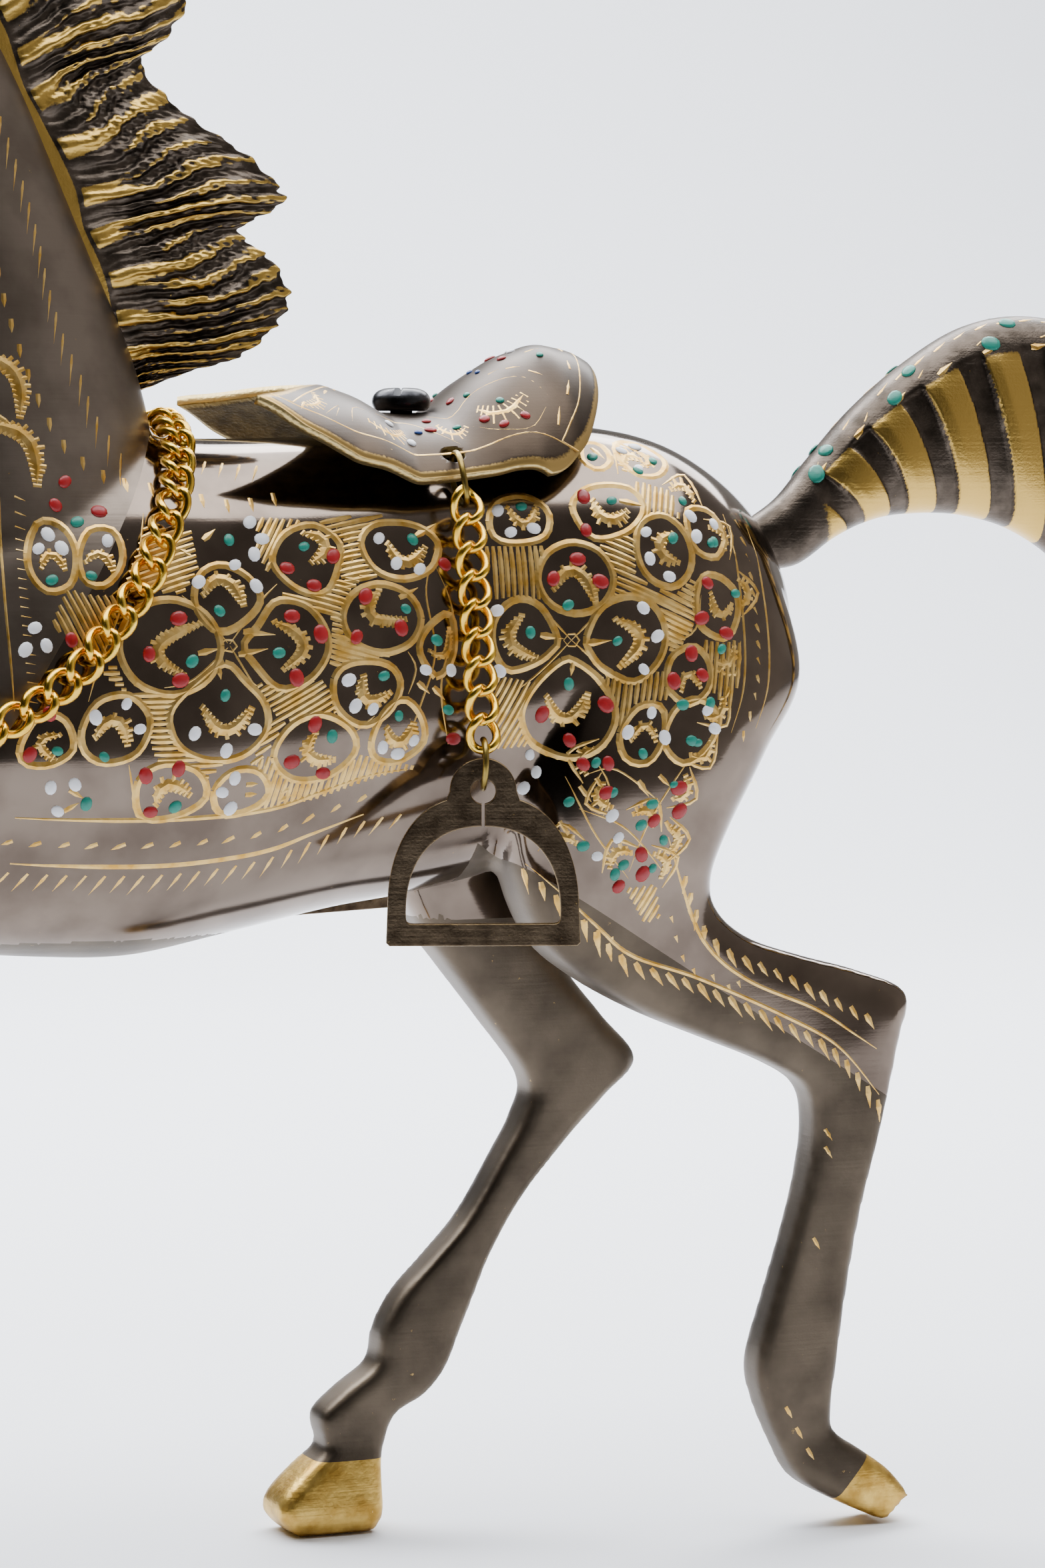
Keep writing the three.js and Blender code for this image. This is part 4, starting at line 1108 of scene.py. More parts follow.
@dataclass
class Tail:
    """The arched tail with flutes that fall from its spine."""

    rings: int = 600
    sides: int = 120
    flutes: float = 13.4
    flute_depth: float = 0.12
    root_share: float = 0.115
    slant: float = -0.033

    def phase(self, share: np.ndarray, along: np.ndarray) -> np.ndarray:
        """Reads where a place lies between two flutes.

        Args:
            share: The share of the tail's length.
            along: From 1 at the spine to -1 at the underside.

        Returns:
            One on a ridge and minus one in a hollow.
        """
        return np.cos(2 * np.pi * self.flutes * (share + self.slant * (1 - along)))

    def facet(self, share: np.ndarray, along: np.ndarray) -> np.ndarray:
        """Shapes a flute as a flat ridge with two faces over a round hollow.

        Args:
            share: The share of the tail's length.
            along: From 1 at the spine to -1 at the underside.

        Returns:
            How far the skin stands out or in.
        """
        turn = self.flutes * (share + self.slant * (1 - along))
        beside = 2 * (turn - np.round(turn))
        ridge = 0.3 - 0.9 * np.maximum(0, beside + 0.2) + 0.35 * np.minimum(0, beside + 0.2)
        hollow = 1 - (np.abs(beside) - 0.6) / 0.4
        return np.where(np.abs(beside) < 0.6, ridge, -0.7 - 0.3 * np.sqrt(np.clip(1 - hollow ** 2, 0, 1)))

    def cut(self, share: np.ndarray, along: np.ndarray) -> np.ndarray:
        """Says how far the flutes reach a place.

        Args:
            share: The share of the tail's length.
            along: From 1 at the spine to -1 at the underside.

        Returns:
            Nought on the plain root and the spine strip, one below it.
        """
        return np.clip((0.7 - along) * 10, 0, 1) * np.clip((share - self.root_share) * 40, 0, 1)

    def build(self) -> bpy.types.Object:
        """Makes the tail.

        Returns:
            The tail.
        """
        fall = lambda share, along: self.flute_depth * self.cut(share, along) * self.facet(share, along)
        points, faces = loft(TAIL, self.rings, self.sides, 2.3, 0.0, fall)
        share = np.repeat(np.linspace(0, 1, self.rings), self.sides)
        angle = np.tile(np.linspace(0, 2 * np.pi, self.sides, endpoint=False), self.rings)
        along = signed_power(np.cos(angle), 2 / 2.3)
        wear = np.clip(1.4 + 4 * self.phase(share, along), 0, 1) * self.cut(share, along)
        shell = Shell()
        shell.add(points, faces, 0, wear)
        item = shell.piece("fluted_tail", [LOCK_BRASS])
        return settle(item, "locks", "tail")


SADDLE_HALF_WIDTH = 13.0
SADDLE_SEAT = 111.0
PLATE_THICKNESS = 1.4
SADDLE_BEND = 0.83


def bent_line(rows: np.ndarray, reach: float = 1.3) -> np.ndarray:
    """Rounds the corners of a line of position and height.

    Args:
        rows: The line's corners.
        reach: How far from a corner the rounding starts, in mm.

    Returns:
        The rounded line, closely stepped.
    """
    step = 0.1
    at = np.arange(rows[0, 0] - 2 * reach, rows[-1, 0] + 2 * reach, step)
    tail_slopes = [(rows[1] - rows[0]), (rows[-1] - rows[-2])]
    low = rows[0] - tail_slopes[0] * 3 * reach / tail_slopes[0][0]
    high = rows[-1] + tail_slopes[1] * 3 * reach / tail_slopes[1][0]
    padded = np.concatenate([[low], rows, [high]])
    level = np.interp(at, padded[:, 0], padded[:, 1])
    width = int(reach / step)
    shape = np.hanning(2 * width + 1)
    level = np.convolve(level, shape / shape.sum(), "same")
    return np.stack([at, level], -1)[width:-width]


SADDLE_TOP_LINE = bent_line(SADDLE_TOP)
SADDLE_DROP_LINE = bent_line(SADDLE_DROP)


def saddle_ends(across: np.ndarray) -> tuple[np.ndarray, np.ndarray]:
    """Where the plate begins and ends at a share of its half width.

    Args:
        across: The share of its half width.

    Returns:
        The front and rear x.
    """
    front = 9.9 * (1 - np.abs(across) ** 1.3) - 19.4
    return front, 6 + 13 * np.sqrt(1 - 0.9 * np.minimum(across ** 2, 1))


def saddle_height(x: np.ndarray, y: np.ndarray) -> np.ndarray:
    """Height of the plate's underside.

    Args:
        x: Drawn x.
        y: Drawn y.

    Returns:
        Drawn z.
    """
    bend = SADDLE_BEND * y / SADDLE_HALF_WIDTH
    arc = (1 - np.sqrt(1 - bend ** 2)) / (1 - math.sqrt(1 - SADDLE_BEND ** 2))
    top = np.interp(x, SADDLE_TOP_LINE[:, 0], SADDLE_TOP_LINE[:, 1])
    drop = np.interp(x, SADDLE_DROP_LINE[:, 0], SADDLE_DROP_LINE[:, 1])
    return SADDLE_SEAT + top - drop * arc


def saddle_point(row: np.ndarray, column: np.ndarray) -> np.ndarray:
    """A place on the plate's underside.

    Args:
        row: Share from the pommel to the cantle.
        column: Share across the horse.

    Returns:
        The point in drawn mm.
    """
    row = np.asarray(row, float)
    across = np.sin(np.pi * (np.asarray(column, float) - 0.5))
    front, rear = saddle_ends(across)
    x = front + (rear - front) * row
    tip = 0.1 * np.maximum(0, 1 - 2 * row) ** 6 * across ** 2
    y = SADDLE_HALF_WIDTH * across * (1 - tip)
    return np.stack([x, y, saddle_height(x, y)], -1)


def saddle_normal(points: np.ndarray) -> np.ndarray:
    """The way up through the plate.

    Args:
        points: Places on its underside.

    Returns:
        Unit vectors.
    """
    step = 0.25
    x, y = points[..., 0], points[..., 1]
    inside = np.clip(y, step - SADDLE_HALF_WIDTH, SADDLE_HALF_WIDTH - step)
    along = (saddle_height(x + step, y) - saddle_height(x - step, y)) / (2 * step)
    across = (saddle_height(x, inside + step) - saddle_height(x, inside - step)) / (2 * step)
    normal = np.stack([-along, -across, np.ones_like(along)], -1)
    return normal / np.linalg.norm(normal, axis=-1)[..., None]


@dataclass
class SaddlePlate:
    """The bent sheet saddle with its rubbed rims, and its holes for screw and hooks."""

    rows: int = 110
    columns: int = 96
    hole_x: float = 0.9
    hole_from_rim: float = 1.8
    hole_radius: float = 1.2

    def hole(self, side: Side) -> tuple[np.ndarray, np.ndarray, np.ndarray, np.ndarray]:
        """Places a hook's hole.

        Args:
            side: The side of the horse.

        Returns:
            Its middle, the way through the plate, the way down along it and the rim below it.
        """
        reach = SADDLE_HALF_WIDTH * side.value
        seat_y = reach - self.hole_from_rim * side.value
        seat = np.array([self.hole_x, seat_y, saddle_height(self.hole_x, seat_y)])
        rim = np.array([self.hole_x, reach, saddle_height(self.hole_x, reach)])
        through = saddle_normal(seat)
        return seat + through * PLATE_THICKNESS / 2, through, unit(rim - seat), rim

    def build(self) -> bpy.types.Object:
        """Makes the plate.

        Returns:
            The saddle.
        """
        row, column = np.meshgrid(np.linspace(0, 1, self.rows + 1), np.linspace(0, 1, self.columns + 1), indexing="ij")
        under = saddle_point(row, column)
        normal = saddle_normal(under)
        rim = self.from_rim(row, column)
        rounded = 0.22 * np.exp(-((rim / 0.35) ** 2))
        upper = under + normal * (PLATE_THICKNESS - rounded[..., None])
        lower = under + normal * rounded[..., None]
        wear = np.clip(1.2 - rim / 0.7, 0, 1).ravel()
        shell = Shell()
        faces = sheet_faces(self.rows, self.columns)
        shell.add(np.concatenate([upper.reshape(-1, 3), lower.reshape(-1, 3)]), faces, 0, np.concatenate([wear, 0.7 * wear]))
        item = shell.piece("bent_saddle", [SADDLE_PLATE, RAW_UNDERSIDE_WITH_PAINTED_SHADE, SANDY_EDGE])
        self.drill(item)
        self.dress(item)
        return settle(item, "plate", "saddle")

    def from_rim(self, row: np.ndarray, column: np.ndarray) -> np.ndarray:
        """About how far a place lies from the plate's rim.

        Args:
            row: Share from the pommel to the cantle.
            column: Share across the horse.

        Returns:
            The distance in mm.
        """
        across = np.abs(np.sin(np.pi * (column - 0.5)))
        front, rear = saddle_ends(across)
        length = rear - front
        ends = np.minimum(row * length * 0.75, (1 - row) * length * np.sqrt(1.02 - across ** 2) * 1.2)
        return np.minimum(ends, (1 - across) * SADDLE_HALF_WIDTH * 1.5)

    def drill(self, item: bpy.types.Object) -> None:
        """Cuts the three holes.

        Args:
            item: The plate.
        """
        holes = [(np.array([0, 0, SADDLE_SEAT]), np.array([0, 0, 1.0]), 1.4)]
        for side in Side:
            middle, through, _, _ = self.hole(side)
            holes.append((middle, through, self.hole_radius))
        for middle, through, radius in holes:
            mesh = bpy.data.meshes.new("drill")
            body = bmesh.new()
            bmesh.ops.create_cone(body, cap_ends=True, segments=32, radius1=radius * MM, radius2=radius * MM, depth=4 * MM)
            body.to_mesh(mesh)
            body.free()
            drill = bpy.data.objects.new("drill", mesh)
            drill.rotation_mode = "QUATERNION"
            drill.rotation_quaternion = Vector(through).to_track_quat("Z", "Y")
            drill.location = Vector(to_row(middle))
            bpy.context.scene.collection.objects.link(drill)
            modifier = item.modifiers.new("hole", "BOOLEAN")
            modifier.operation = "DIFFERENCE"
            modifier.solver = "EXACT"
            modifier.object = drill
            depsgraph = bpy.context.evaluated_depsgraph_get()
            cut = bpy.data.meshes.new_from_object(item.evaluated_get(depsgraph))
            item.modifiers.clear()
            item.data = cut
            bpy.data.objects.remove(drill)

    def dress(self, item: bpy.types.Object) -> None:
        """Gives the underside its raw finish, darkened as painted shade, and the cut edge its raw finish.

        Args:
            item: The plate.
        """
        mesh = item.data
        centres = np.empty(len(mesh.polygons) * 3)
        normals = np.empty(len(mesh.polygons) * 3)
        mesh.polygons.foreach_get("center", centres)
        mesh.polygons.foreach_get("normal", normals)
        centres = centres.reshape(-1, 3) / MM - DRAWING_SHIFT
        facing = (saddle_normal(centres) * normals.reshape(-1, 3)).sum(1)
        # Faces under the plate take the raw back, whose colour is darkened as painted shade
        mesh.polygons.foreach_set("material_index", np.where(facing > 0.55, 0, np.where(facing < -0.55, 1, 2)).astype(np.int32))
        mesh.polygons.foreach_set("use_smooth", [True] * len(mesh.polygons))
        mesh.update()


@dataclass
class SaddleScrew:
    """The round-headed slotted screw that holds the saddle."""

    head_radius: float = 2.9
    head_height: float = 2.3
    seat_lift: float = 0.2
    shank_radius: float = 1.1
    shank_depth: float = 5.0
    slot_width: float = 0.7
    slot_depth: float = 0.8
    slot_turn: float = 1.05

    def build(self) -> bpy.types.Object:
        """Turns the screw and cuts its slot.

        Returns:
            The screw.
        """
        base = SADDLE_SEAT + PLATE_THICKNESS + self.seat_lift
        profile = [(0.001, SADDLE_SEAT - self.shank_depth), (self.shank_radius, SADDLE_SEAT - self.shank_depth)]
        profile += [(self.shank_radius, base), (self.head_radius - 0.3, base)]
        for step in range(23):
            angle = math.pi * (-0.24 + 0.74 * step / 22)
            radius = self.head_radius * max(math.cos(angle), 0) ** 0.55
            rise = (math.sin(angle) + 0.685) / 1.685
            profile.append((max(0.001, radius), base + self.head_height * rise))
        sides = 48
        turn = np.linspace(0, 2 * np.pi, sides, endpoint=False)
        points = np.array([[[r * math.cos(a), r * math.sin(a), z] for a in turn] for r, z in profile]).reshape(-1, 3)
        shell = Shell()
        shell.add(points, tube_faces(len(profile), sides, False))
        item = shell.piece("slotted_screw", [BLACK_STEEL])
        cut_box(item, np.array([0, 0, base + self.head_height]), (3 * self.head_radius, self.slot_width, 2 * self.slot_depth), self.slot_turn)
        return settle(item, "screw", "saddle_screw")


def cut_box(item: bpy.types.Object, middle: np.ndarray, size: tuple[float, float, float], turn: float) -> None:
    """Cuts a turned box out of a piece.

    Args:
        item: The piece.
        middle: The box's middle in drawn mm.
        size: Its sizes in mm.
        turn: Its turn about the vertical.
    """
    mesh = bpy.data.meshes.new("cutter")
    body = bmesh.new()
    bmesh.ops.create_cube(body, size=1.0)
    body.to_mesh(mesh)
    body.free()
    cutter = bpy.data.objects.new("cutter", mesh)
    cutter.scale = [side * MM for side in size]
    cutter.rotation_euler = (0, 0, turn)
    cutter.location = Vector(to_row(middle))
    bpy.context.scene.collection.objects.link(cutter)
    modifier = item.modifiers.new("slot", "BOOLEAN")
    modifier.operation = "DIFFERENCE"
    modifier.solver = "EXACT"
    modifier.object = cutter
    depsgraph = bpy.context.evaluated_depsgraph_get()
    cut = bpy.data.meshes.new_from_object(item.evaluated_get(depsgraph))
    item.modifiers.clear()
    item.data = cut
    bpy.data.objects.remove(cutter)


@dataclass(frozen=True)
class CurbLinks:
    """The sizes of one curb link, shared by all chains."""

    wire: float = 0.85
    pitch: float = 2.75
    width: float = 3.5
    twist: float = 0.9
    contact: float = 0.64
    steps: int = 28
    sides: int = 10

    def add(self, shell: Shell, centre: np.ndarray, along: np.ndarray, outward: np.ndarray, pitch: float, twist: float) -> None:
        """Adds one link.

        Args:
            shell: The shell that takes it.
            centre: The link's middle.
            along: The way of the chain.
            outward: The way off the surface.
            pitch: The distance between links.
            twist: The turn at its ends.
        """
        tangent = unit(along)
        normal = unit(outward - (outward @ tangent) * tangent)
        flat = np.cross(tangent, normal)
        half_length = (pitch + self.contact * self.wire) / 2
        half_width = (self.width - self.wire) / 2
        angle = np.linspace(0, 2 * np.pi, self.steps, endpoint=False)
        turn = twist * np.cos(angle)
        long = half_length * signed_power(np.cos(angle), 0.86)
        side = half_width * signed_power(np.sin(angle), 0.86)
        points = (
            centre
            + long[:, None] * tangent
            + (side * np.cos(turn))[:, None] * flat
            + (side * np.sin(turn))[:, None] * normal
        )
        shell.add(*wire_ring(points, centre, self.sides, self.wire / 2))


HOOK_WIRE = 0.6
LINKS = CurbLinks()
LINK_HANG = (LINKS.pitch + LINKS.contact * LINKS.wire) / 2 - (HOOK_WIRE + LINKS.wire) / 2 - FIT_GAP


@dataclass
class NeckChain:
    """The curb chain around the root of the neck."""

    seat_share: float = 0.86
    steps_between: int = 4

    def build(self) -> bpy.types.Object:
        """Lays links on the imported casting.

        Returns:
            The chain.
        """
        tree = skin_tree(bpy.data.objects["horse"])
        lift = 0.5 * self.seat_share * LINKS.width * math.sin(LINKS.twist) + LINKS.wire / 2 + FIT_GAP
        stops = len(NECK_CHAIN_ROUTE) - 1
        route = smooth_rows(NECK_CHAIN_ROUTE, np.linspace(0, stops, self.steps_between * stops + 1))
        mirrored = route[1:-1][::-1] * np.array([1, -1, 1, 1, -1, 1])
        seats = []
        for row in np.concatenate([route, mirrored]):
            way = unit(row[3:])
            found = cast_on(tree, row[:3] + 440 * way, -way)
            seats.append((found[0], unit(found[1] + way)))
        points = np.array([point + lift * out for point, out in seats])
        outs = np.array([out for _, out in seats])
        dense = 3000
        places = np.linspace(0, len(points), dense, endpoint=False)
        padded = np.concatenate([points[-2:], points, points[:3]])
        padded_outs = np.concatenate([outs[-2:], outs, outs[:3]])
        line = smooth_rows(padded, places + 2)
        ways = smooth_rows(padded_outs, places + 2)
        step = np.linalg.norm(np.roll(line, -1, 0) - line, axis=1)
        run = np.concatenate([[0], np.cumsum(step)])
        count = round(run[-1] / LINKS.pitch)
        shell = Shell()
        for link in range(count):
            place = int(np.searchsorted(run, run[-1] * link / count)) % dense
            along = line[(place + 1) % dense] - line[place - 1]
            LINKS.add(shell, line[place], along, ways[place], run[-1] / count, LINKS.twist)
        item = shell.piece("neck_curb_chain", [BRIGHT_CHAIN])
        return settle(item, "chain", "neck_chain")


@dataclass
class StirrupLeather:
    """One side's hook, hung chain, lower hook and stirrup."""

    side: Side
    links: int = 9
    hook_slack: float = 0.85
    plate_width: float = 18.6
    plate_height: float = 14.8
    bar: float = 2.1
    thickness: float = 1.3
    lug_radius: float = 3.2
    turn: float = 0.35
    hole_radius: float = 1.2
    flank: float = 16.2

    def build(self, saddle: SaddlePlate) -> list[bpy.types.Object]:
        """Makes the four pieces.

        Args:
            saddle: The saddle that carries them.

        Returns:
            The pieces.
        """
        name = self.side.name.lower()
        upper, bottom = self.upper_hook(saddle)
        chain, last = self.chain(bottom)
        lower, hang = self.lower_hook(last)
        plate = self.stirrup(hang)
        return [
            settle(upper, "wire", f"saddle_hook_{name}"),
            settle(chain, "chain", f"stirrup_chain_{name}"),
            settle(lower, "wire", f"stirrup_hook_{name}"),
            settle(plate, "stirrup", f"stirrup_{name}"),
        ]

    def upper_hook(self, saddle: SaddlePlate) -> tuple[bpy.types.Object, np.ndarray]:
        """Bends the wire through the saddle's hole and twists its legs together.

        Args:
            saddle: The saddle that carries it.

        Returns:
            The hook and its lowest point.
        """
        middle, through, down, rim = saddle.hole(self.side)
        past = np.linalg.norm(rim - middle) + PLATE_THICKNESS / 2
        half_long = (past + LINKS.wire + HOOK_WIRE + 2 * FIT_GAP) / 2
        half_short = PLATE_THICKNESS / 2 + HOOK_WIRE / 2 + FIT_GAP + self.hook_slack
        centre = middle + down * half_long
        beside = np.cross(down, through)
        angle = np.linspace(0, 2 * np.pi, 72, endpoint=False)
        long = half_long * np.cos(angle)
        short = half_short * np.sin(angle)
        sway = 0.42 * np.sin(angle) * np.cos(angle * 0.5) ** 2
        points = centre + long[:, None] * down + short[:, None] * through + sway[:, None] * beside
        shell = Shell()
        shell.add(*wire_ring(points, centre, 12, HOOK_WIRE / 2))
        return shell.piece(f"twisted_saddle_hook_{self.side.name.lower()}", [DRAWN_WIRE]), centre + half_long * down

    def chain(self, bottom: np.ndarray) -> tuple[bpy.types.Object, np.ndarray]:
        """Hangs the links over the flank.

        Args:
            bottom: The upper hook's lowest point.

        Returns:
            The chain and its last link's middle.
        """
        sign = self.side.value
        first = bottom + np.array([0, 0, -LINK_HANG])
        away = sign * (self.flank + LINKS.width / 2 + FIT_GAP)
        knots = np.array([
            first,
            [first[0] + 0.1, away + 0.4 * sign, first[2] - 11],
            [first[0] + 0.4, away + 1.4 * sign, first[2] - 30],
        ])
        share = np.linspace(0, 1, 2001)[:, None]
        line = (1 - share) ** 2 * knots[0] + 2 * share * (1 - share) * knots[1] + share ** 2 * knots[2]
        run = np.concatenate([[0], np.cumsum(np.linalg.norm(np.diff(line, axis=0), axis=1))])
        shell = Shell()
        centre = first
        for link in range(self.links):
            place = int(np.searchsorted(run, link * LINKS.pitch))
            centre = line[place]
            along = line[min(place + 1, 2000)] - line[max(place - 1, 0)]
            LINKS.add(shell, centre, along, np.array([0, sign, 0.0]), LINKS.pitch, sign * LINKS.twist)
        return shell.piece(f"hung_curb_chain_{self.side.name.lower()}", [BRIGHT_CHAIN]), centre

    def lower_hook(self, last: np.ndarray) -> tuple[bpy.types.Object, np.ndarray]:
        """Bends the wire between the last link and the stirrup.

        Args:
            last: The last link's middle.

        Returns:
            The hook and its lowest point.
        """
        top = last[2] - LINK_HANG
        length = self.lug_radius - self.hole_radius + LINKS.wire + HOOK_WIRE + 4 * FIT_GAP
        centre = np.array([last[0], last[1], top - length / 2])
        half_short = self.thickness / 2 + HOOK_WIRE / 2 + FIT_GAP + self.hook_slack
        angle = np.linspace(0, 2 * np.pi, 64, endpoint=False)
        through = half_short * np.sin(angle)
        sway = 0.3 * np.sin(angle) * np.cos(angle * 0.5)
        lean = self.side.value * self.turn
        points = np.stack([
            centre[0] + sway * math.cos(lean) - through * math.sin(lean),
            centre[1] + sway * math.sin(lean) + through * math.cos(lean),
            centre[2] + length / 2 * np.cos(angle),
        ], -1)
        shell = Shell()
        shell.add(*wire_ring(points, centre, 12, HOOK_WIRE / 2))
        hook = shell.piece(f"stirrup_wire_hook_{self.side.name.lower()}", [DRAWN_WIRE])
        return hook, centre - np.array([0, 0, length / 2])

    def outline(self) -> tuple[list[tuple[float, float]], list[list[tuple[float, float]]]]:
        """Draws the stirrup's outline, window and hole.

        Returns:
            The outline, and the loops cut out of it.
        """
        half = self.plate_width / 2
        arch = self.plate_height - 0.25 * self.lug_radius
        outer = [(-half + 0.3, 0.0), (half - 0.3, 0.0), (half, 0.3)]
        shoulder = bezier(
            (0.985 * half, 0.3 * arch), (0.97 * half, 0.66 * arch), (0.73 * half, 0.93 * arch), (0.376 * half, arch), 18
        )
        outer += shoulder
        for step in range(25):
            angle = math.pi * step / 24
            outer.append((self.lug_radius * math.cos(angle), self.plate_height + self.lug_radius * math.sin(angle)))
        outer += [(-across, up) for across, up in reversed(shoulder)] + [(-half, 0.3)]
        inner = half - 0.9 * self.bar
        corner = 1.2
        top = arch - 1.2 * self.bar
        side = bezier((inner, self.bar + corner), (inner, 0.71 * top), (0.65 * inner, top), (0.16, top), 18)
        foot = bezier((inner - corner, self.bar), (inner, self.bar), (inner, self.bar), (inner, self.bar + corner), 6)[:-1]
        slit = self.plate_height - self.hole_radius * 0.98
        right = foot + side + [(0.16, slit)]
        hole_right = []
        for step in range(14):
            angle = -math.pi / 2 + 0.16 + (math.pi - 0.16) * step / 13
            hole_right.append((self.hole_radius * math.cos(angle), self.plate_height + self.hole_radius * math.sin(angle)))
        right += hole_right
        return outer, [right + [(-across, up) for across, up in reversed(right)]]

    def stirrup(self, hang: np.ndarray) -> bpy.types.Object:
        """Cuts the stirrup from plate and rubs its edges.

        Args:
            hang: The lower hook's lowest point.

        Returns:
            The stirrup.
        """
        outer, cuts = self.outline()
        rise = self.hole_radius - HOOK_WIRE / 2 - 2 * FIT_GAP
        base = hang[2] - rise - self.plate_height
        curve = bpy.data.curves.new("stirrup_outline", "CURVE")
        curve.dimensions = "2D"
        curve.fill_mode = "BOTH"
        curve.extrude = (self.thickness / 2 - 0.12) * MM
        curve.bevel_depth = 0.12 * MM
        curve.offset = -0.12 * MM
        curve.bevel_resolution = 2
        for loop in [outer, *cuts]:
            spline = curve.splines.new("POLY")
            spline.points.add(len(loop) - 1)
            for point, (across, up) in zip(spline.points, loop):
                point.co = (across * MM, up * MM, 0, 1)
            spline.use_cyclic_u = True
        drawn = bpy.data.objects.new("stirrup_outline", curve)
        bpy.context.scene.collection.objects.link(drawn)
        depsgraph = bpy.context.evaluated_depsgraph_get()
        flat = bpy.data.meshes.new_from_object(drawn.evaluated_get(depsgraph))
        bpy.data.objects.remove(drawn)
        places = np.empty(len(flat.vertices) * 3)
        flat.vertices.foreach_get("co", places)
        places = places.reshape(-1, 3) / MM
        edge = np.abs(places[:, 2]) < self.thickness / 2 - 0.02
        lean = self.side.value * self.turn
        points = np.stack([
            places[:, 0] * math.cos(lean) - places[:, 2] * math.sin(lean) + hang[0],
            places[:, 0] * math.sin(lean) + places[:, 2] * math.cos(lean) + hang[1],
            places[:, 1] + base,
        ], -1)
        shell = Shell()
        shell.add(points, [tuple(face.vertices)[::-1] for face in flat.polygons], 0, np.where(edge, 0.5, 0.0))
        item = shell.piece(f"antique_stirrup_{self.side.name.lower()}", [ANTIQUE_STIRRUP], smooth=False)
        body = bmesh.new()
        body.from_mesh(item.data)
        bmesh.ops.remove_doubles(body, verts=body.verts, dist=1e-6)
        body.to_mesh(item.data)
        body.free()
        return item


class Canvas:
    """A flat drawing area that can be laid on a skin."""

    def lay(self, across: float, up: float) -> tuple[np.ndarray, np.ndarray] | None:
        """Finds where a drawn place falls.

        Args:
            across: The first drawn coordinate in mm.
            up: The second.

        Returns:
            The point in drawn mm and the way off the skin, or None beside it.
        """
        raise NotImplementedError


@dataclass
class BarrelCanvas(Canvas):
    """Lies around the barrel: x along it and an arc up from half its height."""

    tree: BVHTree
    side: Side
    radius: float = 20.0
    axis_height: float = 88.0

    def lay(self, across: float, up: float) -> tuple[np.ndarray, np.ndarray] | None:
        """Finds where a drawn place falls.

        Args:
            across: Drawn x.
            up: Arc up from the axis height.

        Returns:
            The point in drawn mm and the way off the skin, or None beside it.
        """
        turn = up / self.radius
        way = np.array([0, self.side.value * math.cos(turn), math.sin(turn)])
        found = cast_on(self.tree, np.array([across, 0, self.axis_height]), way)
        return None if found is None else (found[0], -found[1])


@dataclass
class SideCanvas(Canvas):
    """Faces a skin straight from one side: drawn x and z."""

    tree: BVHTree
    start_y: float
    way_y: float

    def lay(self, across: float, up: float) -> tuple[np.ndarray, np.ndarray] | None:
        """Finds where a drawn place falls.

        Args:
            across: Drawn x.
            up: Drawn z.

        Returns:
            The point in drawn mm and the way off the skin, or None beside it.
        """
        found = cast_on(self.tree, np.array([across, self.start_y, up]), np.array([0, self.way_y, 0]))
        if found is None or abs(found[1][1]) < 0.2:
            return None
        return found


@dataclass
class PlateCanvas(Canvas):
    """Lies on top of the saddle plate: drawn x and y."""

    def lay(self, across: float, up: float) -> tuple[np.ndarray, np.ndarray] | None:
        """Finds where a drawn place falls.

        Args:
            across: Drawn x.
            up: Drawn y.

        Returns:
            The point in drawn mm and the way off the plate.
        """
        point = np.array([across, up, float(saddle_height(np.array(across), np.array(up)))])
        normal = saddle_normal(point)
        return point + normal * PLATE_THICKNESS, normal


def curve_through(points: Sequence[tuple[float, float]], step: float, closed: bool = False) -> np.ndarray:
    """Runs an even smooth line through points.

    Args:
        points: The points.
        step: About how far apart the line's own points are.
        closed: Whether it returns to its start.

    Returns:
        The line's points.
    """
    knots = np.array(points, float)
    if len(knots) > 2:
        stops = len(knots) if closed else len(knots) - 1
        places = np.linspace(0, stops, stops * 8 + 1)
        if closed:
            padded = np.concatenate([knots[-2:], knots, knots[:3]])
            knots = smooth_rows(padded, places + 2)
        else:
            knots = smooth_rows(knots, places)
    run = np.concatenate([[0], np.cumsum(np.linalg.norm(np.diff(knots, axis=0), axis=1))])
    count = max(2, int(round(run[-1] / step)) + 1)
    at = np.linspace(0, run[-1], count)
    return np.stack([np.interp(at, run, knots[:, 0]), np.interp(at, run, knots[:, 1])], -1)


def inside_loop(points: np.ndarray, loop: np.ndarray) -> np.ndarray:
    """Tells which points lie inside a closed line.

    Args:
        points: The points.
        loop: The closed line.

    Returns:
        True for each one inside.
    """
    after = np.roll(loop, -1, 0)
    x, y = points[:, 0:1], points[:, 1:2]
    crosses = (loop[:, 1] > y) != (after[:, 1] > y)
    rise = np.where(after[:, 1] == loop[:, 1], 1e-9, after[:, 1] - loop[:, 1])
    at = loop[:, 0] + (y - loop[:, 1]) * (after[:, 0] - loop[:, 0]) / rise
    return ((crosses & (x < at)).sum(1) % 2).astype(bool)


class Enamel(Enum):
    """Which drop of enamel, by its place in the drops' finishes."""

    RED = 0
    WHITE = 1
    GREEN = 2
    BLUE = 3


